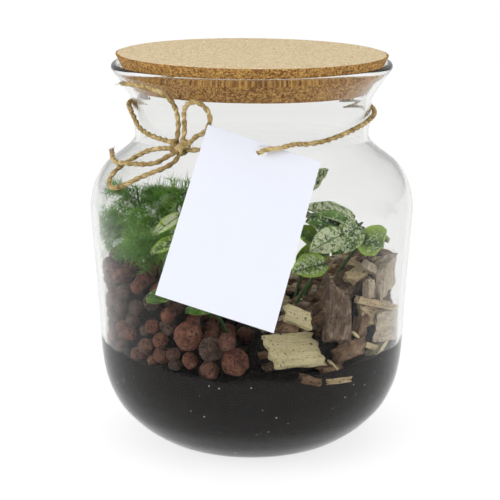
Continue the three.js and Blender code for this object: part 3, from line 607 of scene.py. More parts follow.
# The lowest row, half sunk in the soil
for i in range(LOW_ROW_BALLS):
    angle = LOW_ROW_START - i * LOW_ROW_STEP
    diameter = 0.0074 + 0.0024 * draw(i + 0.15)
    add_ball(at_wall(angle, soil_top(angle, 0.074) + 0.0012, diameter), diameter)
# Rows against the glass
for row, z, angle in ball_rows(*WALL_ROWS):
    diameter = 0.0072 + 0.0026 * draw(angle * 7 + row)
    height = z + 0.002 * (draw(angle * 3 + row) - 0.5)
    low = soil_top(angle, 0.074) + diameter * 0.3
    if low < height < between(angle, CLAY_WALL) + 0.001:
        add_ball(at_wall(angle, height, diameter), diameter)
# Closer rows behind them, which fill the gaps
for row, z, angle in ball_rows(*INNER_ROWS):
    diameter = 0.0066 + 0.0026 * draw(angle * 5 + row + 0.4)
    height = z + 0.002 * (draw(angle * 2 + row) - 0.5)
    if soil_top(angle, 0.07) + diameter * 0.4 < height < between(angle, CLAY_WALL):
        add_ball(polar(angle, room_radius(z) - INNER_GAP - diameter / 2, height), diameter)
# The heap's top, in staggered rows
for i in range(TOP_ROWS):
    for k in range(TOP_ROW_BALLS):
        x, y = TOP_CORNER[0] + i * TOP_STEP, TOP_CORNER[1] + (k + 0.5 * (i % 2)) * 2 * TOP_STEP
        diameter = 0.0078 + 0.0028 * draw(x * 5000 + y * 11000)
        angle, radius = math.degrees(math.atan2(x, -y)), math.hypot(x, y)
        centre = Vector((x, y, heap(CLAY_WALL, angle, radius) - diameter * 0.4))
        room = room_radius(centre.z) - diameter / 2 - 2 * BALL_GAP
        if CLAY_START - 2 < angle < CLAY_END - 2 and CORE_RADII[0] < radius < room:
            add_ball(centre, diameter)

fired_clay = Finish("fired_clay")
crust = fired_clay.place()
blotch = fired_clay.clouds(crust, 190, 4, 0.65, 0.4)
speck = fired_clay.clouds(crust, 900, 3, 0.7)
pores = fired_clay.cells(crust, 1100)
ball_tone = fired_clay.number(fired_clay.on_surface(), 0)
red_clay = fired_clay.ramp(
    blotch, (0.3, (0.055, 0.019, 0.011)), (0.5, (0.15, 0.054, 0.031)), (0.7, (0.26, 0.115, 0.07))
)
dull_clay = fired_clay.ramp(
    blotch, (0.3, (0.025, 0.014, 0.01)), (0.5, (0.075, 0.043, 0.031)), (0.7, (0.14, 0.09, 0.066))
)
clay_colour = fired_clay.blend(fired_clay.step(ball_tone, 0.25, 0.8), red_clay, dull_clay)
clay_colour = fired_clay.blend(fired_clay.step(speck, 0.58, 0.66) * 0.6, clay_colour, (0.022, 0.012, 0.009))
# The pits are sunk by the bump and painted nearly black: painted shade inside the pores
shaded_pit = fired_clay.step(fired_clay.clouds(crust, 820, 2, 0.5, 0.2), 0.585, 0.63)
clay_colour = fired_clay.blend(shaded_pit * 0.85, clay_colour, (0.006, 0.003, 0.002))
fired_clay.surface(
    Base_Color=clay_colour,
    Roughness=fired_clay.step(blotch, 0.2, 0.8) * 0.15 + 0.78,
    Normal=fired_clay.bump(speck * 0.7 + pores * 0.5 - shaded_pit, 0.0009, 0.8),
)


def heap_core(start, stop, radii, sectors, low, high):
    """A closed wedge between two heights that each depend on the angle and the radius."""
    rings = len(radii)
    vertices, faces = [], []
    for side in (low, high):
        for i in range(sectors + 1):
            angle = start + (stop - start) * i / sectors
            vertices += [polar(angle, r, side(angle, r)) for r in radii]

    def under(i, j):
        return i * rings + j

    def over(i, j):
        return (sectors + 1 + i) * rings + j

    for i in range(sectors):
        for j in range(rings - 1):
            faces.append((over(i, j), over(i, j + 1), over(i + 1, j + 1), over(i + 1, j)))
            faces.append((under(i, j), under(i + 1, j), under(i + 1, j + 1), under(i, j + 1)))
        for j, flip in ((0, True), (rings - 1, False)):
            face = (under(i, j), under(i + 1, j), over(i + 1, j), over(i, j))
            faces.append(face[::-1] if flip else face)
    for j in range(rings - 1):
        faces.append((under(0, j), under(0, j + 1), over(0, j + 1), over(0, j)))
        faces.append((under(sectors, j), over(sectors, j), over(sectors, j + 1), under(sectors, j + 1)))
    return vertices, faces


def crumbled(height, depth):
    """A heap's own height, lowered by a depth and roughened."""

    def high(angle, radius):
        rough = 0.004 * noise.noise(polar(angle, radius, 0) * 160)
        return max(height(angle, radius) - depth + rough, soil_top(angle, radius) + 0.0004)

    return high


def core_under(angle, radius):
    """The height of a core's underside, which lies a little in the soil."""
    return soil_top(angle, radius) - 0.003


clay_core = heap_core(
    CLAY_START, CLAY_END - 3, CORE_RADII, CORE_SECTORS, core_under,
    crumbled(lambda a, r: heap(CLAY_WALL, a, r), 0.0062),
)
clay_parts, clay_tones = [], []
for i, (centre, diameter) in enumerate(clay_balls):
    shape = FINE_BALL if i < len(FRONT_BALLS) - PLAIN_FRONT_BALLS else PLAIN_BALL
    clay_parts.append((pitted_ball(centre, diameter, i, shape), shape[1]))
    clay_tones += [(draw(i + 0.6) ** 1.4, 0)] * len(shape[0])
piece(
    "clay_ball_heap", *gathered(clay_parts), fired_clay.material, "fired_clay", "clay_balls", uv=clay_tones
)
piece("soil_between_balls", *clay_core, potting_soil.material, "potting_soil")


# The wood chips: split and torn bits of pale wood, grey wood and dark bark, up to 37 mm long, that lie on
# the right. Each is split along its grain, so its faces are ridged and its ends are torn.
CHIPS = [
    # Name, middle, grain, facing, then length, width and thickness, and wood
    ("pale_front", (0.0205, -0.061, 0.062), (0.95, 0.29, -0.02), (0.22, -0.66, 0.72),
     (0.028, 0.020, 0.003), "pale"),
    ("bark_upright", (0.0405, -0.057, 0.082), (0.03, 0.02, 1), (0.45, -0.88, 0.05),
     (0.037, 0.015, 0.005), "bark"),
    ("streaked", (0.0605, -0.0385, 0.075), (0.64, 0.74, -0.2), (0.72, -0.62, 0.3),
     (0.030, 0.014, 0.004), "streaked"),
    ("grey_right", (0.0665, -0.024, 0.090), (0.1, 0.1, 1), (0.85, -0.45, 0.25),
     (0.019, 0.014, 0.0045), "grey"),
    ("splinter", (0.064, -0.0335, 0.0595), (0.45, 0.64, 0.62), (0.8, -0.6, 0),
     (0.027, 0.005, 0.0032), "pale"),
    ("small_pale", (0.0218, -0.062, 0.0795), (0.85, 0.25, -0.45), (0.3, -0.8, 0.52),
     (0.015, 0.010, 0.0026), "pale"),
    ("knobbly", (0.047, -0.0545, 0.060), (0.8, 0.6, 0.12), (0.5, -0.6, 0.6),
     (0.019, 0.009, 0.007), "brown"),
    ("yellow_top", (0.0505, -0.042, 0.095), (0.75, 0.5, 0.42), (0.2, -0.7, 0.68),
     (0.012, 0.008, 0.004), "streaked"),
    ("thin_top", (0.057, -0.044, 0.089), (0.15, 0.1, 1), (0.7, -0.7, 0),
     (0.011, 0.006, 0.003), "grey"),
    ("front_low", (0.038, -0.0605, 0.0536), (0.86, 0.5, 0.05), (0.3, -0.5, 0.8),
     (0.015, 0.007, 0.0026), "brown"),
    ("bark_inner", (0.044, -0.040, 0.088), (0.5, 0.7, 0.3), (0, -0.5, 0.86),
     (0.022, 0.014, 0.005), "bark"),
    ("brown_inner", (0.030, -0.048, 0.076), (0.9, 0.2, 0.3), (0.1, -0.6, 0.8),
     (0.018, 0.012, 0.004), "brown"),
]
# Eight more round the side and the back, a low and a high one in turn
SIDE_WOODS = ["brown", "pale", "bark", "grey"]
for i in range(8):
    turn, upper = 78 + i * 12, i % 2
    height = 0.088 - i * 0.003 if upper else 0.070 - i * 0.0008
    out = polar(turn, 1, 0)
    CHIPS.append((
        f"side_{i + 1}",
        tuple(polar(turn, 0.060 if upper else 0.069, height)),
        (-out.y, out.x, 0.5 * (draw(i + 40) - 0.5)),
        (out.x, out.y, 1.3 if upper else 0.3),
        (0.020 + 0.008 * draw(i + 60), 0.011 + 0.004 * draw(i + 70), 0.0035 + 0.0015 * draw(i + 80)),
        SIDE_WOODS[i % 4],
    ))


def block(cells):
    """The skin of a unit block: its vertices, from -0.5 to 0.5 each way, and its faces."""
    index, vertices, faces = {}, [], []

    def corner(*at):
        if at not in index:
            index[at] = len(vertices)
            vertices.append(Vector(a / n - 0.5 for a, n in zip(at, cells)))
        return index[at]

    for axis in range(3):
        u, v = (axis + 1) % 3, (axis + 2) % 3
        for end in (0, cells[axis]):
            for a in range(cells[u]):
                for b in range(cells[v]):
                    ring = []
                    for da, db in ((0, 0), (1, 0), (1, 1), (0, 1)):
                        at = [0, 0, 0]
                        at[axis], at[u], at[v] = end, a + da, b + db
                        ring.append(corner(*at))
                    faces.append(tuple(ring if end else ring[::-1]))
    return vertices, faces


CHIP_ROUGH = {"pale": 0.5, "streaked": 0.8, "grey": 0.9, "brown": 1.2, "bark": 1.5}


def torn_chip(at, along, face, size, seed, rough, cells, skew=None, cut=0):
    """A split chip, ridged along its grain, torn at its ends and worn at its edges.
    skew slants both ends, and cut slants one."""
    x = Vector(along).normalized()
    z = (Vector(face) - x * x.dot(Vector(face))).normalized()
    frame_of_chip = Matrix((x, z.cross(x), z)).transposed()
    length, width, thick = size
    shift = Vector((seed * 7.3, seed * 3.7, seed * 1.9))
    skew = 0.5 * (draw(seed + 9) - 0.5) if skew is None else skew
    vertices, faces = block(cells)
    made = []
    for v in vertices:
        a, b, c = v
        grain = Vector((a * length * 45, b * width * 420, c * thick * 420)) + shift
        torn = noise.noise(Vector((b * width * 330, c * thick * 500, a)) + shift)
        end = abs(2 * a) ** 6
        px = a * length * (1 + 0.1 * (draw(seed + (a > 0)) - 0.5)) + b * width * skew
        px -= max(0, 2 * a) ** 2 * (0.5 - b) * cut
        px -= math.copysign(end * (0.0015 * torn + 0.0009), a) * (1 + rough)
        edge = abs(2 * b) ** 8
        wander = noise.noise(Vector((a * 4, c * 2, 5)) + shift)
        py = b * width * (1 + 0.14 * wander - 0.05 * edge) - math.copysign(edge * 0.0004 * (1 + rough), b)
        ridge = noise.turbulence(grain, 3, False) - 0.4
        flake = noise.noise(Vector((a * length * 90, b * width * 160, c)) + shift * 2)
        swell = noise.noise(Vector((a * 3, b * 2, 0)) + shift)
        pz = c * thick * (1 + 0.25 * swell - 0.25 * edge - 0.2 * end)
        pz += 0.35 * thick * math.cos(a * 2.4 + seed)
        pz += math.copysign(rough * (0.0009 * ridge + 0.0006 * flake), c if c else 1)
        made.append(frame_of_chip @ Vector((px, py, pz)) + Vector(at))
    return made, faces


def kept_inside(vertices, margin=0.00025):
    """Points drawn back to the inside of the glass, by a margin."""
    made = []
    for v in vertices:
        radius, limit = math.hypot(v.x, v.y), room_radius(v.z) - margin
        if radius > limit:
            v = Vector((v.x * limit / radius, v.y * limit / radius, v.z))
        made.append(v)
    return made


def wood_finish(name, dark, middle, light, mottled, streaks, dirty, rough):
    """Split wood, with bands and fine lines along the grain, weathered patches and dark specks."""
    wood = Finish(name)
    grain_at = wood.on_surface()
    lines = wood.clouds(wood.stretched(grain_at, (90, 1500, 1)), 1, 4, 0.6)
    bands = wood.clouds(wood.stretched(grain_at, (45, 420, 1)), 1, 4, 0.6, 0.5)
    here = wood.place()
    patches = wood.clouds(here, 190, 5, 0.65, 0.4)
    dirt = wood.clouds(here, 520, 5, 0.7)
    specks = wood.step(wood.clouds(here, 760, 3, 0.5, 0.4), 0.635, 0.67)
    tone = (bands * 0.6 + lines * 0.4) * (1 - mottled) + patches * mottled
    colour = wood.ramp(tone, (0.33, dark), (0.5, middle), (0.66, light))
    colour = wood.blend(wood.step(lines, 0.52, 0.64) * streaks, colour, tuple(0.4 * c for c in dark))
    colour = wood.blend(wood.step(dirt, 0.58, 0.68) * dirty, colour, (0.03, 0.018, 0.011))
    colour = wood.blend(specks * 0.9, colour, (0.018, 0.011, 0.007))
    wood.surface(
        Base_Color=colour,
        Roughness=wood.step(lines, 0.2, 0.8) * 0.15 + 0.75,
        Normal=wood.bump(bands * 0.8 + lines * 0.5 + dirt * 0.5 - specks * 0.4, 0.0008, rough),
    )
    return wood.material


# Each wood's dark, middle and light colour, then its mottling, streaks, dirt and depth of grain
WOOD_LOOKS = {
    "pale": ("pale_wood", (0.47, 0.39, 0.2), (0.63, 0.55, 0.315), (0.74, 0.67, 0.43),
             0.25, 0.4, 0.25, 0.8),
    "streaked": ("streaked_wood", (0.26, 0.17, 0.085), (0.52, 0.4, 0.23), (0.74, 0.62, 0.4),
                 0.3, 0.7, 0.4, 1.0),
    "grey": ("grey_wood", (0.24, 0.185, 0.125), (0.5, 0.41, 0.295), (0.7, 0.61, 0.47),
             0.4, 0.7, 0.35, 1.1),
    "brown": ("brown_wood", (0.07, 0.035, 0.018), (0.19, 0.11, 0.06), (0.45, 0.31, 0.18),
              0.5, 0.6, 0.6, 1.0),
    "bark": ("dark_bark", (0.045, 0.025, 0.016), (0.18, 0.12, 0.08), (0.45, 0.35, 0.25),
             0.75, 0.7, 0.5, 1.3),
}
WOODS = {kind: wood_finish(*look) for kind, look in WOOD_LOOKS.items()}
CHIP_SLOTS = {"pale": "pale_wood", "streaked": "pale_wood", "grey": "bark", "brown": "bark", "bark": "bark"}


def chip_grain(cells, size, seed):
    """For each vertex of a block, the place along and across the grain."""
    length, width, thick = size
    return [(v.x * length + seed, v.y * width + v.z * thick * 1.3 + seed * 0.37) for v in block(cells)[0]]


CHIP_CELLS = (56, 28, 6)
# The slant of both ends, or of one end, where a chip is cut
SKEWS = {"pale_front": -0.17}
CUTS = {"bark_upright": 0.013}
for i, (name, at, along, face, size, kind) in enumerate(CHIPS):
    chip, chip_faces = torn_chip(
        at, along, face, size, i, CHIP_ROUGH[kind], CHIP_CELLS, SKEWS.get(name), CUTS.get(name, 0)
    )
    piece(
        "wood_" + name, kept_inside(chip), chip_faces, WOODS[kind], CHIP_SLOTS[kind], "chip_" + name,
        uv=chip_grain(CHIP_CELLS, size, i),
    )


# The bed of small chips: split wood and bark that fill up the heap under the large chips, down to the soil.
# Thin ones stand flat against the glass in front and on the right, and crumbled soil lies between them.
WOOD_WALL = [
    (7, 0.057), (12, 0.070), (20, 0.080), (30, 0.086), (42, 0.092), (60, 0.098), (90, 0.098), (125, 0.088),
    (150, 0.072), (168, 0.060),
]
SMALL_CELLS, WALL_CELLS = (12, 8, 3), (40, 18, 4)
FRONT_CHIPS_END, FRONT_DIP = 76, 0.024
# How far a chip keeps from the glass: each a little more than the one before, and the lowest are pressed in
FIRST_MARGIN, MARGIN_STEP, LOW_CHIP_MARGIN = 0.0001, 0.0001, -0.0005
BED_CHIPS, BED_WALL_CHIPS, BED_RING = 330, 150, 50
BED_SET_BACK, BED_ROUGH = 0.013, 0.9
# Each chip's middle, grain, then length, width and thickness, and wood
WALL_CHIPS = [
    ((0.0603, -0.0399, 0.0802), (0.5, 0.8, -0.33), (0.046, 0.0048, 0.0026), "streaked"),
    ((0.0666, -0.0327, 0.0668), (0.42, 0.88, -0.2), (0.034, 0.0166, 0.003), "grey"),
    ((0.0528, -0.0501, 0.0716), (-0.02, 0.06, -1), (0.014, 0.008, 0.004), "brown"),
    ((0.0666, -0.0340, 0.0930), (-0.02, 0.13, -0.99), (0.020, 0.0205, 0.0032), "grey"),
    ((0.0557, -0.0482, 0.0615), (0.58, 0.71, -0.41), (0.0195, 0.0036, 0.003), "streaked"),
    ((0.0635, -0.0385, 0.0565), (0.5, 0.68, 0.5), (0.021, 0.0042, 0.003), "pale"),
    ((0.0279, -0.0683, 0.0499), (0.87, 0.39, -0.31), (0.0141, 0.0056, 0.003), "brown"),
    ((0.0412, -0.0607, 0.0476), (0.82, 0.57, -0.08), (0.0195, 0.0041, 0.003), "streaked"),
    ((0.0176, -0.069, 0.0759), (0.94, 0.25, -0.24), (0.0118, 0.0044, 0.003), "brown"),
    ((0.0395, -0.0618, 0.0548), (0.56, 0.41, -0.72), (0.0128, 0.0016, 0.0016), "streaked"),
    ((0.0589, -0.0425, 0.0985), (0.49, 0.73, -0.48), (0.0195, 0.0055, 0.003), "grey"),
    ((0.0506, -0.0558, 0.0686), (0.53, 0.52, -0.67), (0.007, 0.002, 0.0016), "pale"),
]
small_parts = {kind: [] for kind in WOODS}
small_grain = {kind: [] for kind in WOODS}
for i, (at, along, size, kind) in enumerate(WALL_CHIPS):
    bit, bit_faces = torn_chip(at, along, (at[0], at[1], 0), size, i + 50, CHIP_ROUGH[kind], WALL_CELLS)
    pressed = LOW_CHIP_MARGIN if at[2] < SOIL_FRONT + 0.001 else FIRST_MARGIN + MARGIN_STEP * i
    small_parts[kind].append((kept_inside(bit, pressed), bit_faces))
    small_grain[kind] += chip_grain(WALL_CELLS, size, i + 50)
KINDS_IN_BED = ["brown", "grey", "bark", "brown", "streaked", "bark", "pale", "brown"]
for i in range(BED_CHIPS):
    on_wall = i < BED_WALL_CHIPS
    angle = 9 + (i % BED_RING) * 3.15 + 2.4 * draw(i + 0.2) if on_wall else 12 + 156 * draw(i + 0.5)
    size = (0.007 + 0.009 * draw(i + 41), 0.0035 + 0.0045 * draw(i + 51), 0.0014 + 0.0018 * draw(i + 61))
    radius = 0.0725 - size[2] if on_wall else 0.018 + 0.05 * math.sqrt(draw(i + 7))
    if angle < FRONT_CHIPS_END:
        radius -= BED_SET_BACK
    low = soil_top(angle, radius) + 0.001
    top = heap(WOOD_WALL, angle, radius) - 0.002
    height = low + (top - low) * ((i // BED_RING + draw(i + 3.3)) / 3) if on_wall else top
    out = polar(angle, 1, 0)
    spin = math.pi * draw(i + 21)
    side = Vector((-out.y, out.x, 0)) * math.cos(spin) + Vector((0, 0, math.sin(spin)))
    facing = Vector((out.x, out.y, 0.5 * (draw(i + 35) - 0.3)))
    if not on_wall:
        facing = Vector((draw(i + 31) - 0.5, draw(i + 32) - 0.5, 0.7))
        side = Vector((-out.y, out.x, 0.3 * (draw(i + 33) - 0.5))) + out * (draw(i + 34) - 0.5) * 2
    kind = KINDS_IN_BED[int(8 * draw(i + 77))]
    if angle < FRONT_CHIPS_END and kind in ("pale", "streaked"):
        kind = "bark"
    at = polar(angle, radius, height)
    bit, bit_faces = torn_chip(at, side, facing, size, i + 100, BED_ROUGH, SMALL_CELLS)
    small_parts[kind].append((kept_inside(bit), bit_faces))
    small_grain[kind] += chip_grain(SMALL_CELLS, size, i)
wood_core = heap_core(
    11, 168, CORE_RADII, CORE_SECTORS, core_under,
    crumbled(lambda a, r: heap(WOOD_WALL, a, r) - FRONT_DIP * max(0, 1 - a / FRONT_CHIPS_END), 0.0075),
)
for kind, parts in small_parts.items():
    nodes = ("chip_bed",) if kind == "brown" else ()
    piece("small_chips_" + kind, *gathered(parts), WOODS[kind], CHIP_SLOTS[kind], *nodes,
          uv=small_grain[kind])
piece("soil_between_chips", *wood_core, potting_soil.material, "potting_soil")


# The asparagus fern: six wiry fronds that stand among the clay balls. Each has flat side sprays in two
# ranks, with thin twigs on them and tufts of fine soft needles all along the twigs.
FRONDS = [
    # Name, reach of the sprays, spacing of their twigs, and the stalk's route
    ("left", 0.029, 0.0027, [
        (-0.044, 0.001, 0.044), (-0.051, -0.003, 0.084), (-0.059, -0.011, 0.106), (-0.066, -0.020, 0.117),
    ]),
    ("high", 0.029, 0.0064, [
        (-0.041, 0.008, 0.044), (-0.050, 0.006, 0.092), (-0.057, 0, 0.119), (-0.058, -0.009, 0.1325),
    ]),
    ("middle", 0.022, 0.0024, [
        (-0.037, 0.005, 0.044), (-0.037, 0.001, 0.096), (-0.038, -0.008, 0.121), (-0.035, -0.017, 0.1335),
    ]),
    ("right", 0.024, 0.0026, [
        (-0.034, 0.010, 0.044), (-0.025, 0.010, 0.096), (-0.014, 0.005, 0.118), (-0.004, -0.004, 0.130),
    ]),
    ("back", 0.024, 0.0052, [
        (-0.041, 0.013, 0.044), (-0.047, 0.024, 0.090), (-0.051, 0.037, 0.112), (-0.049, 0.047, 0.120),
    ]),
    ("front", 0.020, 0.0027, [
        (-0.039, -0.001, 0.044), (-0.044, -0.015, 0.086), (-0.049, -0.032, 0.106), (-0.050, -0.044, 0.113),
    ]),
]
FERN_SPRAYS, FERN_TOP, FERN_SLOPE = 7, 0.1325, 0.22
UP = Vector((0, 0, 1))


def tube(line, radii, sides):
    """A closed round tube along a line, with a radius for each point."""
    vertices, faces = [], []
    normal = (line[1] - line[0]).orthogonal().normalized()
    for i, p in enumerate(line):
        along = (line[min(i + 1, len(line) - 1)] - line[max(i - 1, 0)]).normalized()
        normal = (normal - along * normal.dot(along)).normalized()
        across = along.cross(normal)
        for k in range(sides):
            a = 2 * math.pi * k / sides
            vertices.append(p + (normal * math.cos(a) + across * math.sin(a)) * radii[i])
    for i in range(len(line) - 1):
        for k in range(sides):
            a, b = i * sides + k, i * sides + (k + 1) % sides
            faces.append((a, b, b + sides, a + sides))
    last = (len(line) - 1) * sides
    faces += [tuple(range(sides))[::-1], tuple(last + k for k in range(sides))]
    return vertices, faces


def taper(line, start, drop):
    """A radius for each point of a line, from a start, less a drop at its end."""
    return [start - drop * i / (len(line) - 1) for i in range(len(line))]


def along_line(line, t):
    """The point and the direction at a share t of a line's points."""
    at = t * (len(line) - 1)
    i = min(int(at), len(line) - 2)
    return line[i].lerp(line[i + 1], at - i), (line[i + 1] - line[i]).normalized()


def inside_jar(p, margin):
    """Whether a point lies inside the glass, by a margin."""
    return math.hypot(p.x, p.y) < room_radius(p.z) - margin


def spray_end(base, heading, length):
    """Where a spray ends, which droops a little."""
    return base + heading * length - UP * 0.06 * length


def sprays(line, reach_of_frond, seed):
    """The root, direction and length of a frond's side sprays, the tip's own last."""
    for k in range(2 * FERN_SPRAYS + 1):
        tip, own = k == 2 * FERN_SPRAYS, k % 2 == 0
        rank = k // 2
        t = 0.97 if tip else 0.5 + 0.46 * (rank + (0 if own else 0.35)) / FERN_SPRAYS
        base, ahead = along_line(line, t)
        side = ahead.cross(UP).normalized() * (1 if rank % 2 == own else -1) * (-1 if own else 1)
        share = 0.35 if tip else (1 if own else 0.85) * (1 - 0.55 * rank / FERN_SPRAYS)
        lift = 1.1 * (draw(seed * 31 + rank + (0 if own else 90)) - 0.36)
        heading = ahead if tip else (side * 0.86 + ahead * 0.5 + UP * lift).normalized()
        length = reach_of_frond * share
        heading.z = min(heading.z, (FERN_TOP - FERN_SLOPE * base.y - base.z) / length)
        while length > 0.005 and not inside_jar(spray_end(base, heading, length), 0.0012):
            length -= 0.001
        yield base, heading, length


def twigs(base, heading, length, pitch, seed):
    """The lines of a spray: its own core, then short drooping twigs in two ranks."""
    end = spray_end(base, heading, length)
    yield [base, base.lerp(end, 0.5) + UP * 0.0006, end]
    across = heading.cross(UP).normalized()
    count = int(length / pitch)
    for j in range(count):
        root = base.lerp(end, (j + 0.7) / (count + 0.5))
        reach = 0.003 + 0.42 * length * (1 - j / count) * (0.7 + 0.5 * draw(seed * 13 + j))
        swing = math.radians(150) * (draw(seed * 17 + j) - 0.5)
        side = across * math.cos(swing) * (1 if j % 2 else -1) + UP * math.sin(swing)
        aim = (heading * 0.6 + side * 0.75).normalized()
        yield [root, root + aim * reach * 0.5 + UP * 0.0003, root + aim * reach - UP * 0.08 * reach]


fern_green = Finish("fern_green")
growth = fern_green.clouds(fern_green.place(), 90, 3, 0.6)
fine_growth = fern_green.clouds(fern_green.place(), 1500, 2, 0.5)
fern_colour = fern_green.ramp(
    growth * 0.65 + fine_growth * 0.35,
    (0.3, (0.035, 0.12, 0.008)), (0.5, (0.12, 0.3, 0.025)), (0.7, (0.36, 0.58, 0.12)),
)
fern_green.surface(Base_Color=fern_colour, Roughness=0.55)
fern_stalk = Finish("fern_stalk")
stalk_height = fern_stalk.number(fern_stalk.place(), 2)
stalk_colour = fern_stalk.blend(
    fern_stalk.step(stalk_height, 0.07, 0.115), (0.14, 0.085, 0.035), (0.09, 0.17, 0.035)
)
fern_stalk.surface(Base_Color=stalk_colour, Roughness=0.6)

needles = Rule(
    "fern needles", Needle_length=0.006, Needle_radius=0.00017, Spacing=0.0016, Lean=0.95,
    Twig_radius=0.00018, Material=fern_green.material,
)
twig_curves = needles.node("GeometryNodeMeshToCurve", {}, {"Mesh": needles.given("Geometry")})
tufts = needles.node(
    "GeometryNodeCurveToPoints",
    {"mode": "LENGTH"},
    {"Curve": twig_curves, "Length": needles.given("Spacing")},
)
one_needle = needles.node(
    "GeometryNodeMeshCone",
    {"fill_type": "NGON"},
    {"Vertices": 3, "Radius Top": 0.0, "Radius Bottom": needles.given("Needle radius"),
     "Depth": needles.given("Needle length")},
)
WHORL, WHORL_TURN = 5, 1.256


def leaning_needle(k):
    """One of a whorl's needles, each at its own lean and turn."""
    lean, turn = needles.given("Lean") * (0.8 + 0.1 * k), k * WHORL_TURN + 0.2 * (k % 2)
    turned = needles.node("ShaderNodeCombineXYZ", {}, {"X": lean, "Z": turn})
    return needles.node("GeometryNodeTransform", {}, {"Geometry": one_needle, "Rotation": turned})


whorl = needles.joined(*(leaning_needle(k) for k in range(WHORL)))
needle_size = needles.chance((0.7, 0.7, 0.65), (1.1, 1.1, 1.15), 7, "FLOAT_VECTOR")
tufted = needles.on_points(tufts, whorl, tufts.also("Rotation"), needle_size)
spun_tufts = needles.spun(tufted, needles.chance((-0.25, -0.25, 0), (0.25, 0.25, 6.28), 8, "FLOAT_VECTOR"))
twig_bark = needles.drawn_along(twig_curves, needles.given("Twig radius"))
needles.ends(needles.joined(spun_tufts, twig_bark), needles.given("Material"))

for f, (name, spray, pitch, path) in enumerate(FRONDS):
    line = smooth(path, 14)
    wires, edges = [], []
    for k, (base, heading, length) in enumerate(sprays(line, spray, f + 1)):
        for twig in twigs(base, heading, length, pitch, 40 * f + k):
            first = len(wires)
            wires += twig
            edges += [(first, first + 1), (first + 1, first + 2)]
    wire = bpy.data.meshes.new("fern_" + name)
    wire.from_pydata([tuple(p) for p in wires], edges, [])
    grown = needles.grow(bpy.data.objects.new("fern_needles_" + name, wire))
    kept = kept_inside([v.co.copy() for v in grown.data.vertices], 0.0003)
    for vertex, place in zip(grown.data.vertices, kept):
        vertex.co = place
    finished(grown, "fern_green")
    stalk = tube(line, taper(line, 0.0009, 0.0006), 10)
    piece("fern_stalk_" + name, *stalk, fern_stalk.material, "fern_green", "fern_frond_" + name)


# The mottled leafy plant: eight leafy stems in the middle, on the right and behind. The leaves are oval and
# cupped, with sunken veins, silver mottling between them and a lime green rim.
LEAFY = [
    # Each stem's name and route, then its leaves: root, heading, rise, roll, length and width, and silver
    ("front_right", [
        (0.020, -0.014, 0.044), (0.028, -0.024, 0.084), (0.038, -0.030, 0.104), (0.044, -0.032, 0.114),
    ], [
        ((0.050, -0.033, 0.1193), -70, 24, -34, (0.026, 0.014), 0.8),
        ((0.0488, -0.037, 0.1171), -63, 16, -63, (0.025, 0.014), 0.3),
        ((0.0525, -0.038, 0.1193), -50, -33, -47, (0.0205, 0.014), 0.6),
        ((0.0433, -0.047, 0.1165), -58, -16, -52, (0.0185, 0.013), 0.9),
    ]),
    ("right", [
        (0.030, -0.004, 0.044), (0.042, -0.012, 0.084), (0.052, -0.018, 0.102), (0.056, -0.024, 0.108),
    ], [
        ((0.0533, -0.0415, 0.1125), 56, -3, 48, (0.0165, 0.0175), 0.4),
        ((0.059, -0.020, 0.109), 120, -12, -10, (0.012, 0.011), 0.5),
        ((0.050, -0.014, 0.108), -150, 6, 20, (0.017, 0.013), 0.3),
    ]),
    ("low_front", [
        (0.014, -0.024, 0.044), (0.022, -0.034, 0.078), (0.029, -0.038, 0.092), (0.032, -0.038, 0.099),
    ], [
        ((0.032, -0.041, 0.1105), -56, 37, -64, (0.016, 0.011), 0.2),
        ((0.0352, -0.0476, 0.1022), -59, -4, -45, (0.018, 0.014), 0.65),
        ((0.0365, -0.038, 0.105), -59, -1, -36, (0.017, 0.0125), 0.3),
    ]),
    ("left", [
        (-0.016, -0.020, 0.044), (-0.024, -0.032, 0.088), (-0.028, -0.035, 0.106), (-0.029, -0.035, 0.114),
    ], [
        ((-0.0345, -0.040, 0.1245), -51, -22, -24, (0.017, 0.0078), 0.95),
        ((-0.0345, -0.044, 0.1137), -53, -13, -27, (0.0175, 0.0085), 0.5),
        ((-0.031, -0.026, 0.119), -60, -9, -33, (0.017, 0.009), 0.5),
    ]),
    ("low_left", [
        (-0.006, -0.030, 0.044), (-0.014, -0.044, 0.070), (-0.020, -0.049, 0.080), (-0.024, -0.050, 0.086),
    ], [
        ((-0.0392, -0.053, 0.0879), -58, -4, -32, (0.0145, 0.009), 0.1),
        ((-0.0188, -0.055, 0.0824), -62, 0, -39, (0.0145, 0.009), 0.1),
    ]),
    ("tall", [
        (0.010, 0.006, 0.044), (0.014, 0.002, 0.096), (0.018, -0.008, 0.120), (0.022, -0.016, 0.130),
    ], [
        ((0.0241, -0.020, 0.1332), 74, 37, 69, (0.017, 0.008), 0.95),
        ((0.015, -0.018, 0.132), -20, -12, 6, (0.018, 0.014), 0.4),
        ((0.024, -0.006, 0.122), 125, -12, 6, (0.014, 0.013), 0.5),
        ((0.008, -0.006, 0.120), -60, -10, 0, (0.017, 0.013), 0.4),
    ]),
    ("back_right", [
        (0.018, 0.018, 0.044), (0.028, 0.028, 0.084), (0.034, 0.036, 0.102), (0.036, 0.040, 0.109),
    ], [
        ((0.040, 0.042, 0.111), 130, -16, 6, (0.018, 0.014), 0.5),
        ((0.033, 0.045, 0.107), 175, -24, 0, (0.017, 0.014), 0.6),
        ((0.042, 0.034, 0.105), 85, -12, 8, (0.017, 0.013), 0.4),
    ]),
    ("back", [
        (-0.002, 0.024, 0.044), (-0.004, 0.034, 0.084), (-0.006, 0.042, 0.104), (-0.006, 0.046, 0.112),
    ], [
        ((-0.008, 0.050, 0.114), -160, -20, 0, (0.018, 0.014), 0.5),
        ((0.002, 0.047, 0.111), 140, -14, 6, (0.017, 0.013), 0.4),
        ((-0.013, 0.042, 0.108), -95, -16, 0, (0.015, 0.012), 0.5),
    ]),
]
LEAF_STATIONS, LEAF_ACROSS, LEAF_THICK = 28, 20, 0.0005
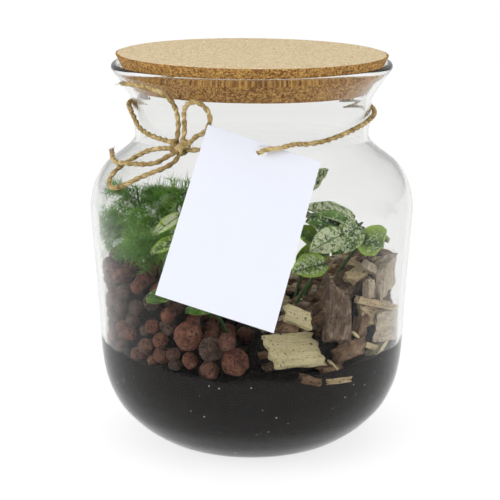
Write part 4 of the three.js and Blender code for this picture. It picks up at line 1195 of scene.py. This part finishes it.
LEAF_VEINS = 7
# A leaf's mark goes into its u: 20 times its silver share, and 100 more where it is lime at the rim
SILVER_MARK, LIME_MARK = 20, 100
LIME_STEMS = ("left", "right", "low_front")
STALK_BEFORE_LEAF, STALK_IN_LEAF = (-0.0015, 0, -0.0002), (0.0014, 0, 0.00005)


def leaf_point(t, s, size, side):
    """A point of a leaf's blade: t along it, s across it from -1 to 1, on its upper or lower side."""
    length, width = size
    half = 0.5 * width * math.sin(math.pi * (0.06 + 0.9 * t) ** 0.85) ** 0.75
    cup = 0.16 * width * s * s
    wave = 0.02 * width * math.sin(t * 15) * abs(s) ** 3
    arch = -0.22 * length * t * t + 0.1 * length * t
    vein = (t - 0.3 * abs(s) + 1) * LEAF_VEINS % 1
    blister = 0.00045 * math.sin(math.pi * vein) ** 0.8 * math.sin(math.pi * abs(s) ** 0.8)
    blister -= 0.0002 * (abs(s) < 0.06)
    edge = 1 - 0.7 * max(abs(s), abs(2 * t - 1)) ** 6
    return Vector((t * length, s * half, cup + wave + arch + blister + side * LEAF_THICK * 0.5 * edge))


def leaf_blade(size):
    """A blade's vertices, its faces, and t and s for each vertex."""
    n, m = LEAF_STATIONS, LEAF_ACROSS
    cells = [(i / n, 2 * j / m - 1, side) for side in (1, -1) for i in range(n + 1) for j in range(m + 1)]
    faces = []

    def at(i, j, side):
        return (0 if side > 0 else (n + 1) * (m + 1)) + i * (m + 1) + j

    for i in range(n):
        for j in range(m):
            faces.append((at(i, j, 1), at(i + 1, j, 1), at(i + 1, j + 1, 1), at(i, j + 1, 1)))
            faces.append((at(i, j, -1), at(i, j + 1, -1), at(i + 1, j + 1, -1), at(i + 1, j, -1)))
        faces.append((at(i, 0, 1), at(i, 0, -1), at(i + 1, 0, -1), at(i + 1, 0, 1)))
        faces.append((at(i, m, 1), at(i + 1, m, 1), at(i + 1, m, -1), at(i, m, -1)))
    for j in range(m):
        faces.append((at(0, j, 1), at(0, j + 1, 1), at(0, j + 1, -1), at(0, j, -1)))
        faces.append((at(n, j, 1), at(n, j, -1), at(n, j + 1, -1), at(n, j + 1, 1)))
    return [leaf_point(t, s, size, side) for t, s, side in cells], faces, [(t, s) for t, s, side in cells]


leaf_green = Finish("mottled_leaf")
leaf_uv = leaf_green.on_surface()
down, across = leaf_green.number(leaf_uv, 0), leaf_green.number(leaf_uv, 1)
place_on_leaf = down.maths("FRACT", down)
leaf_mark = down - place_on_leaf
lime = leaf_green.step(leaf_mark, 0.5 * LIME_MARK, 0.6 * LIME_MARK)
silver_share = (leaf_mark - lime * LIME_MARK) * (1 / SILVER_MARK)
s_size = across.maths("ABSOLUTE", across)
veins = (place_on_leaf - s_size * 0.3 + 1) * LEAF_VEINS
ribs = veins.maths("PINGPONG", veins, 0.5)
near_rib = leaf_green.step(ribs, 0.1, 0.0)
near_middle = leaf_green.step(s_size, 0.09, 0.03)
fleck = leaf_green.clouds(leaf_green.place(), 560, 4, 0.72, 0.9)
patch = leaf_green.clouds(leaf_green.place(), 260, 2, 0.5)
rim = leaf_green.step(s_size + patch * 0.25, 0.86, 1.02)
silver = leaf_green.step(fleck + silver_share * 0.2 - near_rib * 0.1, 0.615, 0.66) * (1 - near_middle * 0.8)
pale_patch = leaf_green.step(patch, 0.35, 0.65)
leaf_colour = leaf_green.blend(pale_patch, (0.01, 0.04, 0.005), (0.085, 0.19, 0.025))
lime_share = lime * leaf_green.step(s_size + patch * 0.4, 0.2, 1.1)
leaf_colour = leaf_green.blend(lime_share, leaf_colour, (0.26, 0.42, 0.045))
leaf_colour = leaf_green.blend(near_rib * 0.5, leaf_colour, (0.06, 0.15, 0.02))
leaf_colour = leaf_green.blend(silver * 0.95, leaf_colour, (0.56, 0.62, 0.4))
leaf_colour = leaf_green.blend(rim * (lime * 0.6 + 0.2), leaf_colour, (0.3, 0.47, 0.06))
leaf_colour = leaf_green.blend(near_middle * 0.4, leaf_colour, (0.12, 0.24, 0.05))
leaf_green.surface(
    Base_Color=leaf_colour,
    Roughness=leaf_green.step(fleck, 0.3, 0.7) * 0.15 + 0.34,
    Normal=leaf_green.bump(fleck * 0.5 - near_rib * 0.5, 0.0003, 0.5),
)
# The stalks' own dark green, darkened further as painted shade where they lie under the leaves
leaf_stalk = Finish("leaf_stalk")
leaf_stalk.surface(Base_Color=(0.05, 0.105, 0.025, 1), Roughness=0.5)
for name, path, leaves in LEAFY:
    line = smooth(path, 12)
    blades, stalks, places = [], [tube(line, taper(line, 0.00105, 0.0003), 10)], []
    for k, (at, heading, rise, roll, size, silver_part) in enumerate(leaves):
        turn = Euler((math.radians(roll), math.radians(-rise), math.radians(heading - 90))).to_matrix()
        vertices, faces, marks = leaf_blade(size)
        blades.append((kept_inside([turn @ v + Vector(at) for v in vertices], 0.0004), faces))
        mark = math.floor(SILVER_MARK * silver_part) + (LIME_MARK if name in LIME_STEMS else 0)
        places += [(mark + 0.02 + 0.96 * t, s) for t, s in marks]
        root, ahead = along_line(line, 1 - 0.07 * k - 0.02)
        joint = [turn @ Vector(p) + Vector(at) for p in (STALK_BEFORE_LEAF, STALK_IN_LEAF)]
        bend = smooth([root, *joint], 5)
        stalks.append(tube(bend, taper(bend, 0.00065, 0.0002), 8))
    stem_leaves = gathered(blades)
    piece("leaves_" + name, *stem_leaves, leaf_green.material, "leaf_green", "leafy_stem_" + name, uv=places)
    piece("leaf_stalks_" + name, *gathered(stalks), leaf_stalk.material, "leaf_green")


# The cork lid: a disc pressed from cork granules, tapered to sit in the flare, a little askew. Its top is
# sanded smooth, and its side is coarse, browner and pitted where granules broke out.
LID_TOP, LID_BOTTOM, LID_FOOT, LID_THICK, LID_CHAMFER = 0.0688, 0.0603, 0.183, 0.0168, 0.0006
LID_TILT_RIGHT, LID_TILT_BACK = 0.55, 0.3
LID_SECTORS, LID_UNDER_RINGS, LID_SIDE_RINGS, LID_TOP_RINGS = 420, 6, 30, 40
lid_turn = Euler((math.radians(-LID_TILT_BACK), math.radians(LID_TILT_RIGHT), 0), "XYZ").to_matrix()


def lid_ring(angle, j):
    """Radius and height of the cork at a ring: under it, up its pitted side, then over its top."""
    if j < LID_UNDER_RINGS:
        return LID_BOTTOM * j / LID_UNDER_RINGS, 0
    side = (j - LID_UNDER_RINGS) / LID_SIDE_RINGS
    if side <= 1:
        radius = LID_BOTTOM + (LID_TOP - LID_CHAMFER * 0.5 - LID_BOTTOM) * side
        z = (LID_THICK - LID_CHAMFER) * side
        here = polar(angle, radius, z)
        holes = max(0, noise.noise(here * 420) - 0.34) * 0.0028
        holes += max(0, noise.noise(here * 800) - 0.3) * 0.0016
        return radius - holes - 0.0002 * noise.noise(here * 900), z
    t = (j - LID_UNDER_RINGS - LID_SIDE_RINGS) / LID_TOP_RINGS
    radius = (LID_TOP - LID_CHAMFER) * (1 - t)
    here = polar(angle, radius, 0)
    dents = max(0, noise.noise(here * 420) - 0.42) * 0.0012
    return radius, LID_THICK - dents * min(1, 12 * t) * (t < 0.98)


cork = Finish("cork")
around = cork.place()
grain_tone = cork.number(cork.cells(around, 1050, output="Color"), 0)
small_grains = cork.number(cork.cells(around, 1500, output="Color"), 1)
joints = cork.cells(around, 1050, "DISTANCE_TO_EDGE")
mottle = cork.clouds(around, 620, 5, 0.8, 0.5)
on_side = cork.step(cork.number(cork.on_surface(), 0), 0.6, 0.4)
top_colour = cork.ramp(
    grain_tone * 0.3 + small_grains * 0.3 + mottle * 0.5,
    (0.25, (0.47, 0.34, 0.18)), (0.5, (0.67, 0.52, 0.3)), (0.75, (0.84, 0.7, 0.46)),
)
side_colour = cork.ramp(
    grain_tone * 0.35 + small_grains * 0.3 + mottle * 0.45,
    (0.25, (0.1, 0.036, 0.006)), (0.48, (0.33, 0.152, 0.029)), (0.78, (0.67, 0.39, 0.105)),
)
cork_colour = cork.blend(on_side, top_colour, side_colour)
dark_grain = cork.step(cork.clouds(around, 700, 2, 0.5, 0.8) + on_side * 0.06, 0.69, 0.74)
cork_colour = cork.blend(dark_grain * 0.75, cork_colour, (0.09, 0.04, 0.018))
in_joint = cork.step(joints, 0.07, 0.0) * (on_side * 0.4 + 0.2)
cork_colour = cork.blend(in_joint, cork_colour, (0.12, 0.055, 0.022))
cork.surface(
    Base_Color=cork_colour,
    Roughness=mottle * 0.2 + 0.7,
    Normal=cork.bump(mottle * 0.6 + grain_tone * 0.3 + joints * 0.6, 0.0006, 0.6),
)
lid_rings = LID_UNDER_RINGS + LID_SIDE_RINGS + LID_TOP_RINGS
lid_vertices, lid_faces = revolved(LID_SECTORS, lid_rings, lid_ring)
side_marks = [(0, 0)]
for j in range(1, lid_rings):
    side_marks += [(0.0 if j <= LID_UNDER_RINGS + LID_SIDE_RINGS else 1.0, 0)] * LID_SECTORS
side_marks.append((1, 0))
lid_in_flare = [lid_turn @ v + Vector((0, 0, LID_FOOT)) for v in lid_vertices]
piece("cork_lid_pressed", lid_in_flare, lid_faces, cork.material, "cork", "cork_lid", uv=side_marks)


# The twine: jute, two plies twisted together, 2.6 mm thick. It goes round the neck and through the tag's
# hole, and is tied in a bow at the left, with a standing ear, a long low ear and two frayed tails.
TWINE = 0.0026
TWINE_STEP = 0.0006
PLY_RADIUS, PLY_OFFSET, PLY_PITCH, PLY_SIDES = 0.00088, 0.00044, 0.0086, 9
TAG_AT = Vector((0.0046, -0.06475, 0.1608))
TAG_TURN = Euler((math.radians(-34.4), math.radians(23), math.radians(14)), "YXZ")
tag_out = TAG_TURN.to_matrix() @ Vector((0, -1, 0))
OUTSIDE = [(z, r) for r, z in JAR_OUTSIDE[3:]]


def on_jar(angle, z, lift=0.0018):
    """A point on the jar's outside, lifted off it."""
    base = z
    for _ in range(4):
        slope = (between(base + 0.001, OUTSIDE) - between(base - 0.001, OUTSIDE)) / 0.002
        facing = Vector((1, -slope)).normalized()
        base = z - facing.y * lift
    return polar(angle, between(base, OUTSIDE) + facing.x * lift, z)


def through_hole(sideways, out):
    """A point beside the middle of the tag's hole, or in front of it or behind it."""
    return TAG_AT + Vector((sideways, 0, 0)) + tag_out * out


# The neck loop's route: from the knot through the tag's hole, round the neck, and back into the knot
NECK_ROUTE = [on_jar(-30, 0.1594, 0.0024), on_jar(-24, 0.160), on_jar(-17, 0.1604), on_jar(-9, 0.1601)]
NECK_ROUTE += [through_hole(-0.0034, -0.0029), through_hole(-0.0012, -0.0015)]
NECK_ROUTE += [through_hole(0.0012, 0.0015), through_hole(0.003, 0.0026)]
NECK_ROUTE += [on_jar(*p) for p in (
    (11.4, 0.1622, 0.0065), (13.5, 0.1628, 0.0061), (15.6, 0.1631, 0.0057), (18, 0.1633, 0.0042),
    (21, 0.163, 0.0027), (25, 0.1626), (31, 0.1629), (37.6, 0.1637), (50.4, 0.166), (68, 0.1686),
    (90, 0.1704), (115, 0.1716), (140, 0.1724), (165, 0.173), (190, 0.1734), (215, 0.1738),
    (240, 0.174), (265, 0.1738), (284, 0.173), (291, 0.1696), (296, 0.1662), (305, 0.164),
    (314, 0.163), (321.4, 0.1626, 0.0027), (324.4, 0.1620, 0.0034),
)]
# The bow's strands from the knot: angle, height, and how far off the glass where that isn't 1.8 mm
BOW_ROUTES = {
    "ear_right": [
        (-32.2, 0.1634, 0.0026), (-31.3, 0.168), (-31.2, 0.173), (-30.2, 0.1786), (-26.8, 0.1826, 0.002),
        (-22.6, 0.1836, 0.0022), (-19.6, 0.181, 0.0022), (-18.4, 0.1766, 0.002), (-19.2, 0.1718, 0.002),
        (-21.8, 0.1684, 0.002), (-24.6, 0.1668, 0.002), (-27, 0.1646, 0.0026), (-29.6, 0.1618, 0.0032),
    ],
    "tail_upper": [
        (-35.4, 0.1634, 0.0026), (-34.8, 0.168), (-34.6, 0.1734), (-34.6, 0.180), (-36, 0.185, 0.002),
        (-39.6, 0.1878, 0.0024), (-45.2, 0.189, 0.0029), (-51.6, 0.1894, 0.0033), (-58, 0.189, 0.0032),
    ],
    "ear_left": [
        (-37.4, 0.1596, 0.0026), (-42, 0.1589), (-48.1, 0.1579), (-54.5, 0.156), (-58.8, 0.1532),
        (-61.6, 0.1498), (-63.1, 0.1462), (-63, 0.1424), (-60.6, 0.1396), (-56.4, 0.1392), (-51, 0.142),
        (-46.5, 0.1454), (-42.2, 0.1483), (-38, 0.1507), (-35, 0.1536), (-33.6, 0.1575, 0.0024),
    ],
    "tail_left": [
        (-36.4, 0.1576, 0.003), (-39.8, 0.1554, 0.0022), (-43.2, 0.1526, 0.002), (-48, 0.1512, 0.0022),
        (-54, 0.1506, 0.003), (-60.5, 0.1502, 0.0048), (-66.5, 0.1506, 0.0052), (-74, 0.1522, 0.0052),
    ],
}


def off_glass(p):
    """A point of the twine's middle, pushed out where it would sink into the glass."""
    radius, least = math.hypot(p.x, p.y), between(p.z, OUTSIDE) + TWINE / 2
    return p if radius > least else Vector((p.x * least / radius, p.y * least / radius, p.z))


def stepped(line, step):
    """A line's points at an even step."""
    made, left = [line[0]], step
    for a, b in zip(line, line[1:]):
        span = (b - a).length
        while left <= span:
            made.append(a.lerp(b, left / span))
            left += step
        left -= span
    return made


def plied(line, seed):
    """Two plies twisted round each other along a line: vertices, faces, and marks along and round a ply."""
    sides, vertices, faces, marks = PLY_SIDES, [], [], []
    for ply in (0, 1):
        first = len(vertices)
        normal = (line[1] - line[0]).orthogonal().normalized()
        for i, p in enumerate(line):
            along = (line[min(i + 1, len(line) - 1)] - line[max(i - 1, 0)]).normalized()
            normal = (normal - along * normal.dot(along)).normalized()
            across = along.cross(normal)
            turn = 2 * math.pi * i * TWINE_STEP / PLY_PITCH + math.pi * ply + seed
            middle = p + (normal * math.cos(turn) + across * math.sin(turn)) * PLY_OFFSET
            thick = PLY_RADIUS * (1 + 0.13 * noise.noise(Vector((i * 0.11, seed, ply * 7))))
            for k in range(sides):
                a = 2 * math.pi * k / sides + turn
                ridge = 1 + 0.08 * noise.noise(Vector((i * 0.3, k * 1.9, seed + 5 * ply)))
                vertices.append(middle + (normal * math.cos(a) + across * math.sin(a)) * thick * ridge)
                marks.append((i * TWINE_STEP + ply * 0.5, k / sides))
        for i in range(len(line) - 1):
            for k in range(sides):
                a, b = first + i * sides + k, first + i * sides + (k + 1) % sides
                faces.append((a, b, b + sides, a + sides))
        last = first + (len(line) - 1) * sides
        faces += [tuple(first + k for k in range(sides))[::-1], tuple(last + k for k in range(sides))]
    return vertices, faces, marks


jute = Finish("jute")
strand = jute.clouds(jute.stretched(jute.on_surface(), (300, 5, 1)), 1, 4, 0.7)
patchy = jute.clouds(jute.place(), 120, 3, 0.6)
jute_colour = jute.ramp(
    strand * 0.6 + patchy * 0.4,
    (0.38, (0.13, 0.072, 0.018)), (0.5, (0.48, 0.335, 0.125)), (0.62, (0.88, 0.72, 0.4)),
)
jute.surface(Base_Color=jute_colour, Roughness=0.75, Normal=jute.bump(strand, 0.0006, 1.0))

fuzz = Rule(
    "jute fibres", Fibres_per_area=210000.0, Fibre_length=0.0023, Fibre_radius=0.018, Seed=2,
    Material=jute.material,
)
fuzz_roots = fuzz.strewn(fuzz.given("Geometry"), fuzz.given("Fibres per area"), fuzz.given("Seed"))
fibre_line = fuzz.node(
    "GeometryNodeCurveQuadraticBezier",
    {},
    {"Resolution": 5, "Start": (0, 0, -0.05), "Middle": (0.25, 0.1, 0.4), "End": (0.9, 0.3, 0.3)},
)
fibre = fuzz.drawn_along(fibre_line, fuzz.given("Fibre radius"), True)
fibre_size = fuzz.chance(0.25, 1.0, 6) * fuzz.given("Fibre length")
fibres_placed = fuzz.on_points(fuzz_roots, fibre, fuzz_roots.also("Rotation"), fibre_size)
fibres_spun = fuzz.spun(fibres_placed, fuzz.chance((-0.3, -0.3, 0), (0.3, 0.3, 6.28), 9, "FLOAT_VECTOR"))
fuzz.ends(fuzz.joined(fuzz.given("Geometry"), fibres_spun), fuzz.given("Material"))


def fuzzy(name, parts, nodes):
    """A twine piece: its plied stretches with their loose fibres."""
    vertices, faces = gathered([(points, shapes) for points, shapes, _ in parts])
    marks = [mark for *_, own in parts for mark in own]
    return finished(fuzz.grow(meshed(name, vertices, faces, jute.material, marks)), "jute_twine", *nodes)


BRUSH_FIBRES = 44


def frayed(name, end, before, seed):
    """The loosened end of a tail: a brush of thin fibres."""
    along = (end - before).normalized()
    side = along.orthogonal().normalized()
    other = along.cross(side)
    parts = []
    for i in range(BRUSH_FIBRES):
        a, wide = 6.28 * draw(seed + i), 0.75 * draw(seed + i + 0.4)
        out = side * math.cos(a) + other * math.sin(a)
        length = 0.004 + 0.005 * draw(seed + i + 0.7)
        root = end - along * 0.002 + out * 0.0006
        middle = end + along * length * 0.4 + out * (0.0007 + 0.0006 * wide)
        tip = end + along * length + out * length * 0.4 * wide + UP * -0.001 * draw(seed + i + 0.9)
        hair = [off_glass(p) for p in smooth([root, middle, tip], 4)]
        parts.append(tube(hair, taper(hair, 0.00018, 0.00013), 4))
    vertices, faces = gathered(parts)
    places = [(0.01 * i, 0.3) for i in range(len(vertices))]
    return piece(name, vertices, faces, jute.material, "jute_twine", uv=places)


# The knot: the twine's own turns, wrapped tightly round themselves with the bow's strands pulled through.
# Three long turns lie aslant across it, and two short ones stand upright beside them.
KNOT_AT = (-33.6, 0.1606, 0.0033)
KNOT_ANGLE = math.radians(KNOT_AT[0])
knot_middle = on_jar(*KNOT_AT)
knot_side = Vector((math.cos(KNOT_ANGLE), math.sin(KNOT_ANGLE), 0))
knot_out = Vector((math.sin(KNOT_ANGLE), -math.cos(KNOT_ANGLE), 0))
knot_parts = []
# Each turn's place along the neck, slant, half length and half depth, and seed
KNOT_TURNS = [
    (-0.0006, 1.15, 0.0044, 0.0019, 1), (0.0010, 0.9, 0.0042, 0.0021, 2), (0.0003, 1.4, 0.0048, 0.0024, 3),
    (-0.0016, -0.35, 0.0028, 0.0027, 4), (0.0026, 0.15, 0.0031, 0.0024, 5),
]
for shift, slant, high, deep, seed in KNOT_TURNS:
    tall = UP * math.cos(slant) + knot_side * math.sin(slant)
    turn_line = [
        knot_middle + knot_side * shift + tall * high * math.cos(a) + knot_out * deep * math.sin(a)
        for a in (math.radians(d) for d in range(0, 361, 10))
    ]
    knot_parts.append(plied(stepped([off_glass(p) for p in turn_line], TWINE_STEP), seed))
knot = fuzzy("twine_knot_turns", knot_parts, ["twine_knot"])
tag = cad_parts["paper_tag"]


def cord_length(line):
    """The length of a line of points."""
    return sum((b - a).length for a, b in zip(line, line[1:]))


def twine_cord(name, points, nodes, seed):
    """A stretch of twine that starts at the knot."""
    line = stepped([off_glass(p) for p in smooth(points, 16)], TWINE_STEP)
    made = fuzzy(name, [plied(line, seed)], nodes)
    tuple(line[0])
    cord_length(line)


twine_cord(
    "twine_neck_loop", NECK_ROUTE, ["twine_neck_front", "twine_neck_back"], 1
)
for seed, (name, bow_route) in enumerate(BOW_ROUTES.items()):
    points = [on_jar(*p) for p in bow_route]
    brush = []
    if "tail" in name:
        brush = [frayed("frayed_" + name, points[-1], points[-2], 10 * seed)]
    twine_cord("twine_bow_" + name, points, ["twine_" + name], seed + 2)


# The tag: a blank card of plain white board with a punched hole. It hangs on the neck loop and leans on the
# jar's shoulder. Its shape is the CAD node's own, and only its finish is given here.
card = Finish("white_card")
fibres = card.clouds(card.place(), 2600, 4, 0.7)
card_colour = card.blend(card.clouds(card.place(), 60, 2), (0.79, 0.815, 0.9), (0.81, 0.835, 0.92))
card.surface(Base_Color=card_colour, Roughness=0.62, Normal=card.bump(fibres, 0.00006, 0.5))
tag.data.materials.clear()
tag.data.materials.append(card.material)


# The floor and the lamps: a plain pale floor in a white room, with broad soft lamps that don't show in the
# glass, and two narrow ones that do.
FLOOR_HALF, ROOM_LIGHT = 6.0, 0.62
pale_floor = Finish("pale_floor")
pale_floor.surface(
    Base_Color=(0.34, 0.34, 0.34, 1), Roughness=0.8, Emission_Color=(1, 1, 1, 1), Emission_Strength=0.76
)
floor_corners = [(x * FLOOR_HALF, y * FLOOR_HALF, 0) for x, y in ((-1, -1), (1, -1), (1, 1), (-1, 1))]
studio_floor = meshed("floor", floor_corners, [(0, 1, 2, 3)], pale_floor.material)
bpy.context.scene.collection.objects.link(studio_floor)
studio_floor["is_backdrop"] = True


def lamp(name, place, aim, size, power, tall=None, in_glass=False):
    """A soft box lamp that looks at a point."""
    data = bpy.data.lights.new(name, "AREA")
    data.shape = "RECTANGLE"
    data.size, data.size_y, data.energy = size, tall or size, power
    made = bpy.data.objects.new(name, data)
    made.location = place
    made.rotation_euler = (Vector(aim) - Vector(place)).to_track_quat("-Z", "Y").to_euler()
    made.visible_glossy = in_glass
    bpy.context.scene.collection.objects.link(made)


lamp("soft_box_top", (0.0, -0.15, 1.2), (0, 0, 0.1), 1.2, 3.6)
lamp("soft_box_left", (-0.9, -0.9, 0.8), (0, 0, 0.1), 0.8, 3.4, 0.8)
lamp("soft_box_right", (1.0, -0.8, 0.6), (0, 0, 0.1), 0.8, 1.8, 0.8)
lamp("strip_left", (-0.8, -0.25, 0.5), (0, 0, 0.12), 0.12, 1.2, 0.6, True)
lamp("strip_right", (0.85, -0.35, 0.45), (0, 0, 0.12), 0.1, 1.0, 0.6, True)
world = bpy.data.worlds.new("studio")
world.use_nodes = True
white_room = world.node_tree.nodes["Background"]
white_room.inputs["Color"].default_value = (1, 1, 1, 1)
white_room.inputs["Strength"].default_value = ROOM_LIGHT
bpy.context.scene.world = world
bpy.context.scene.view_settings.view_transform = "Standard"

sizes = {name: [list(corner) for corner in box] for name, box in (("cad", cad_box), ("visual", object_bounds()))}
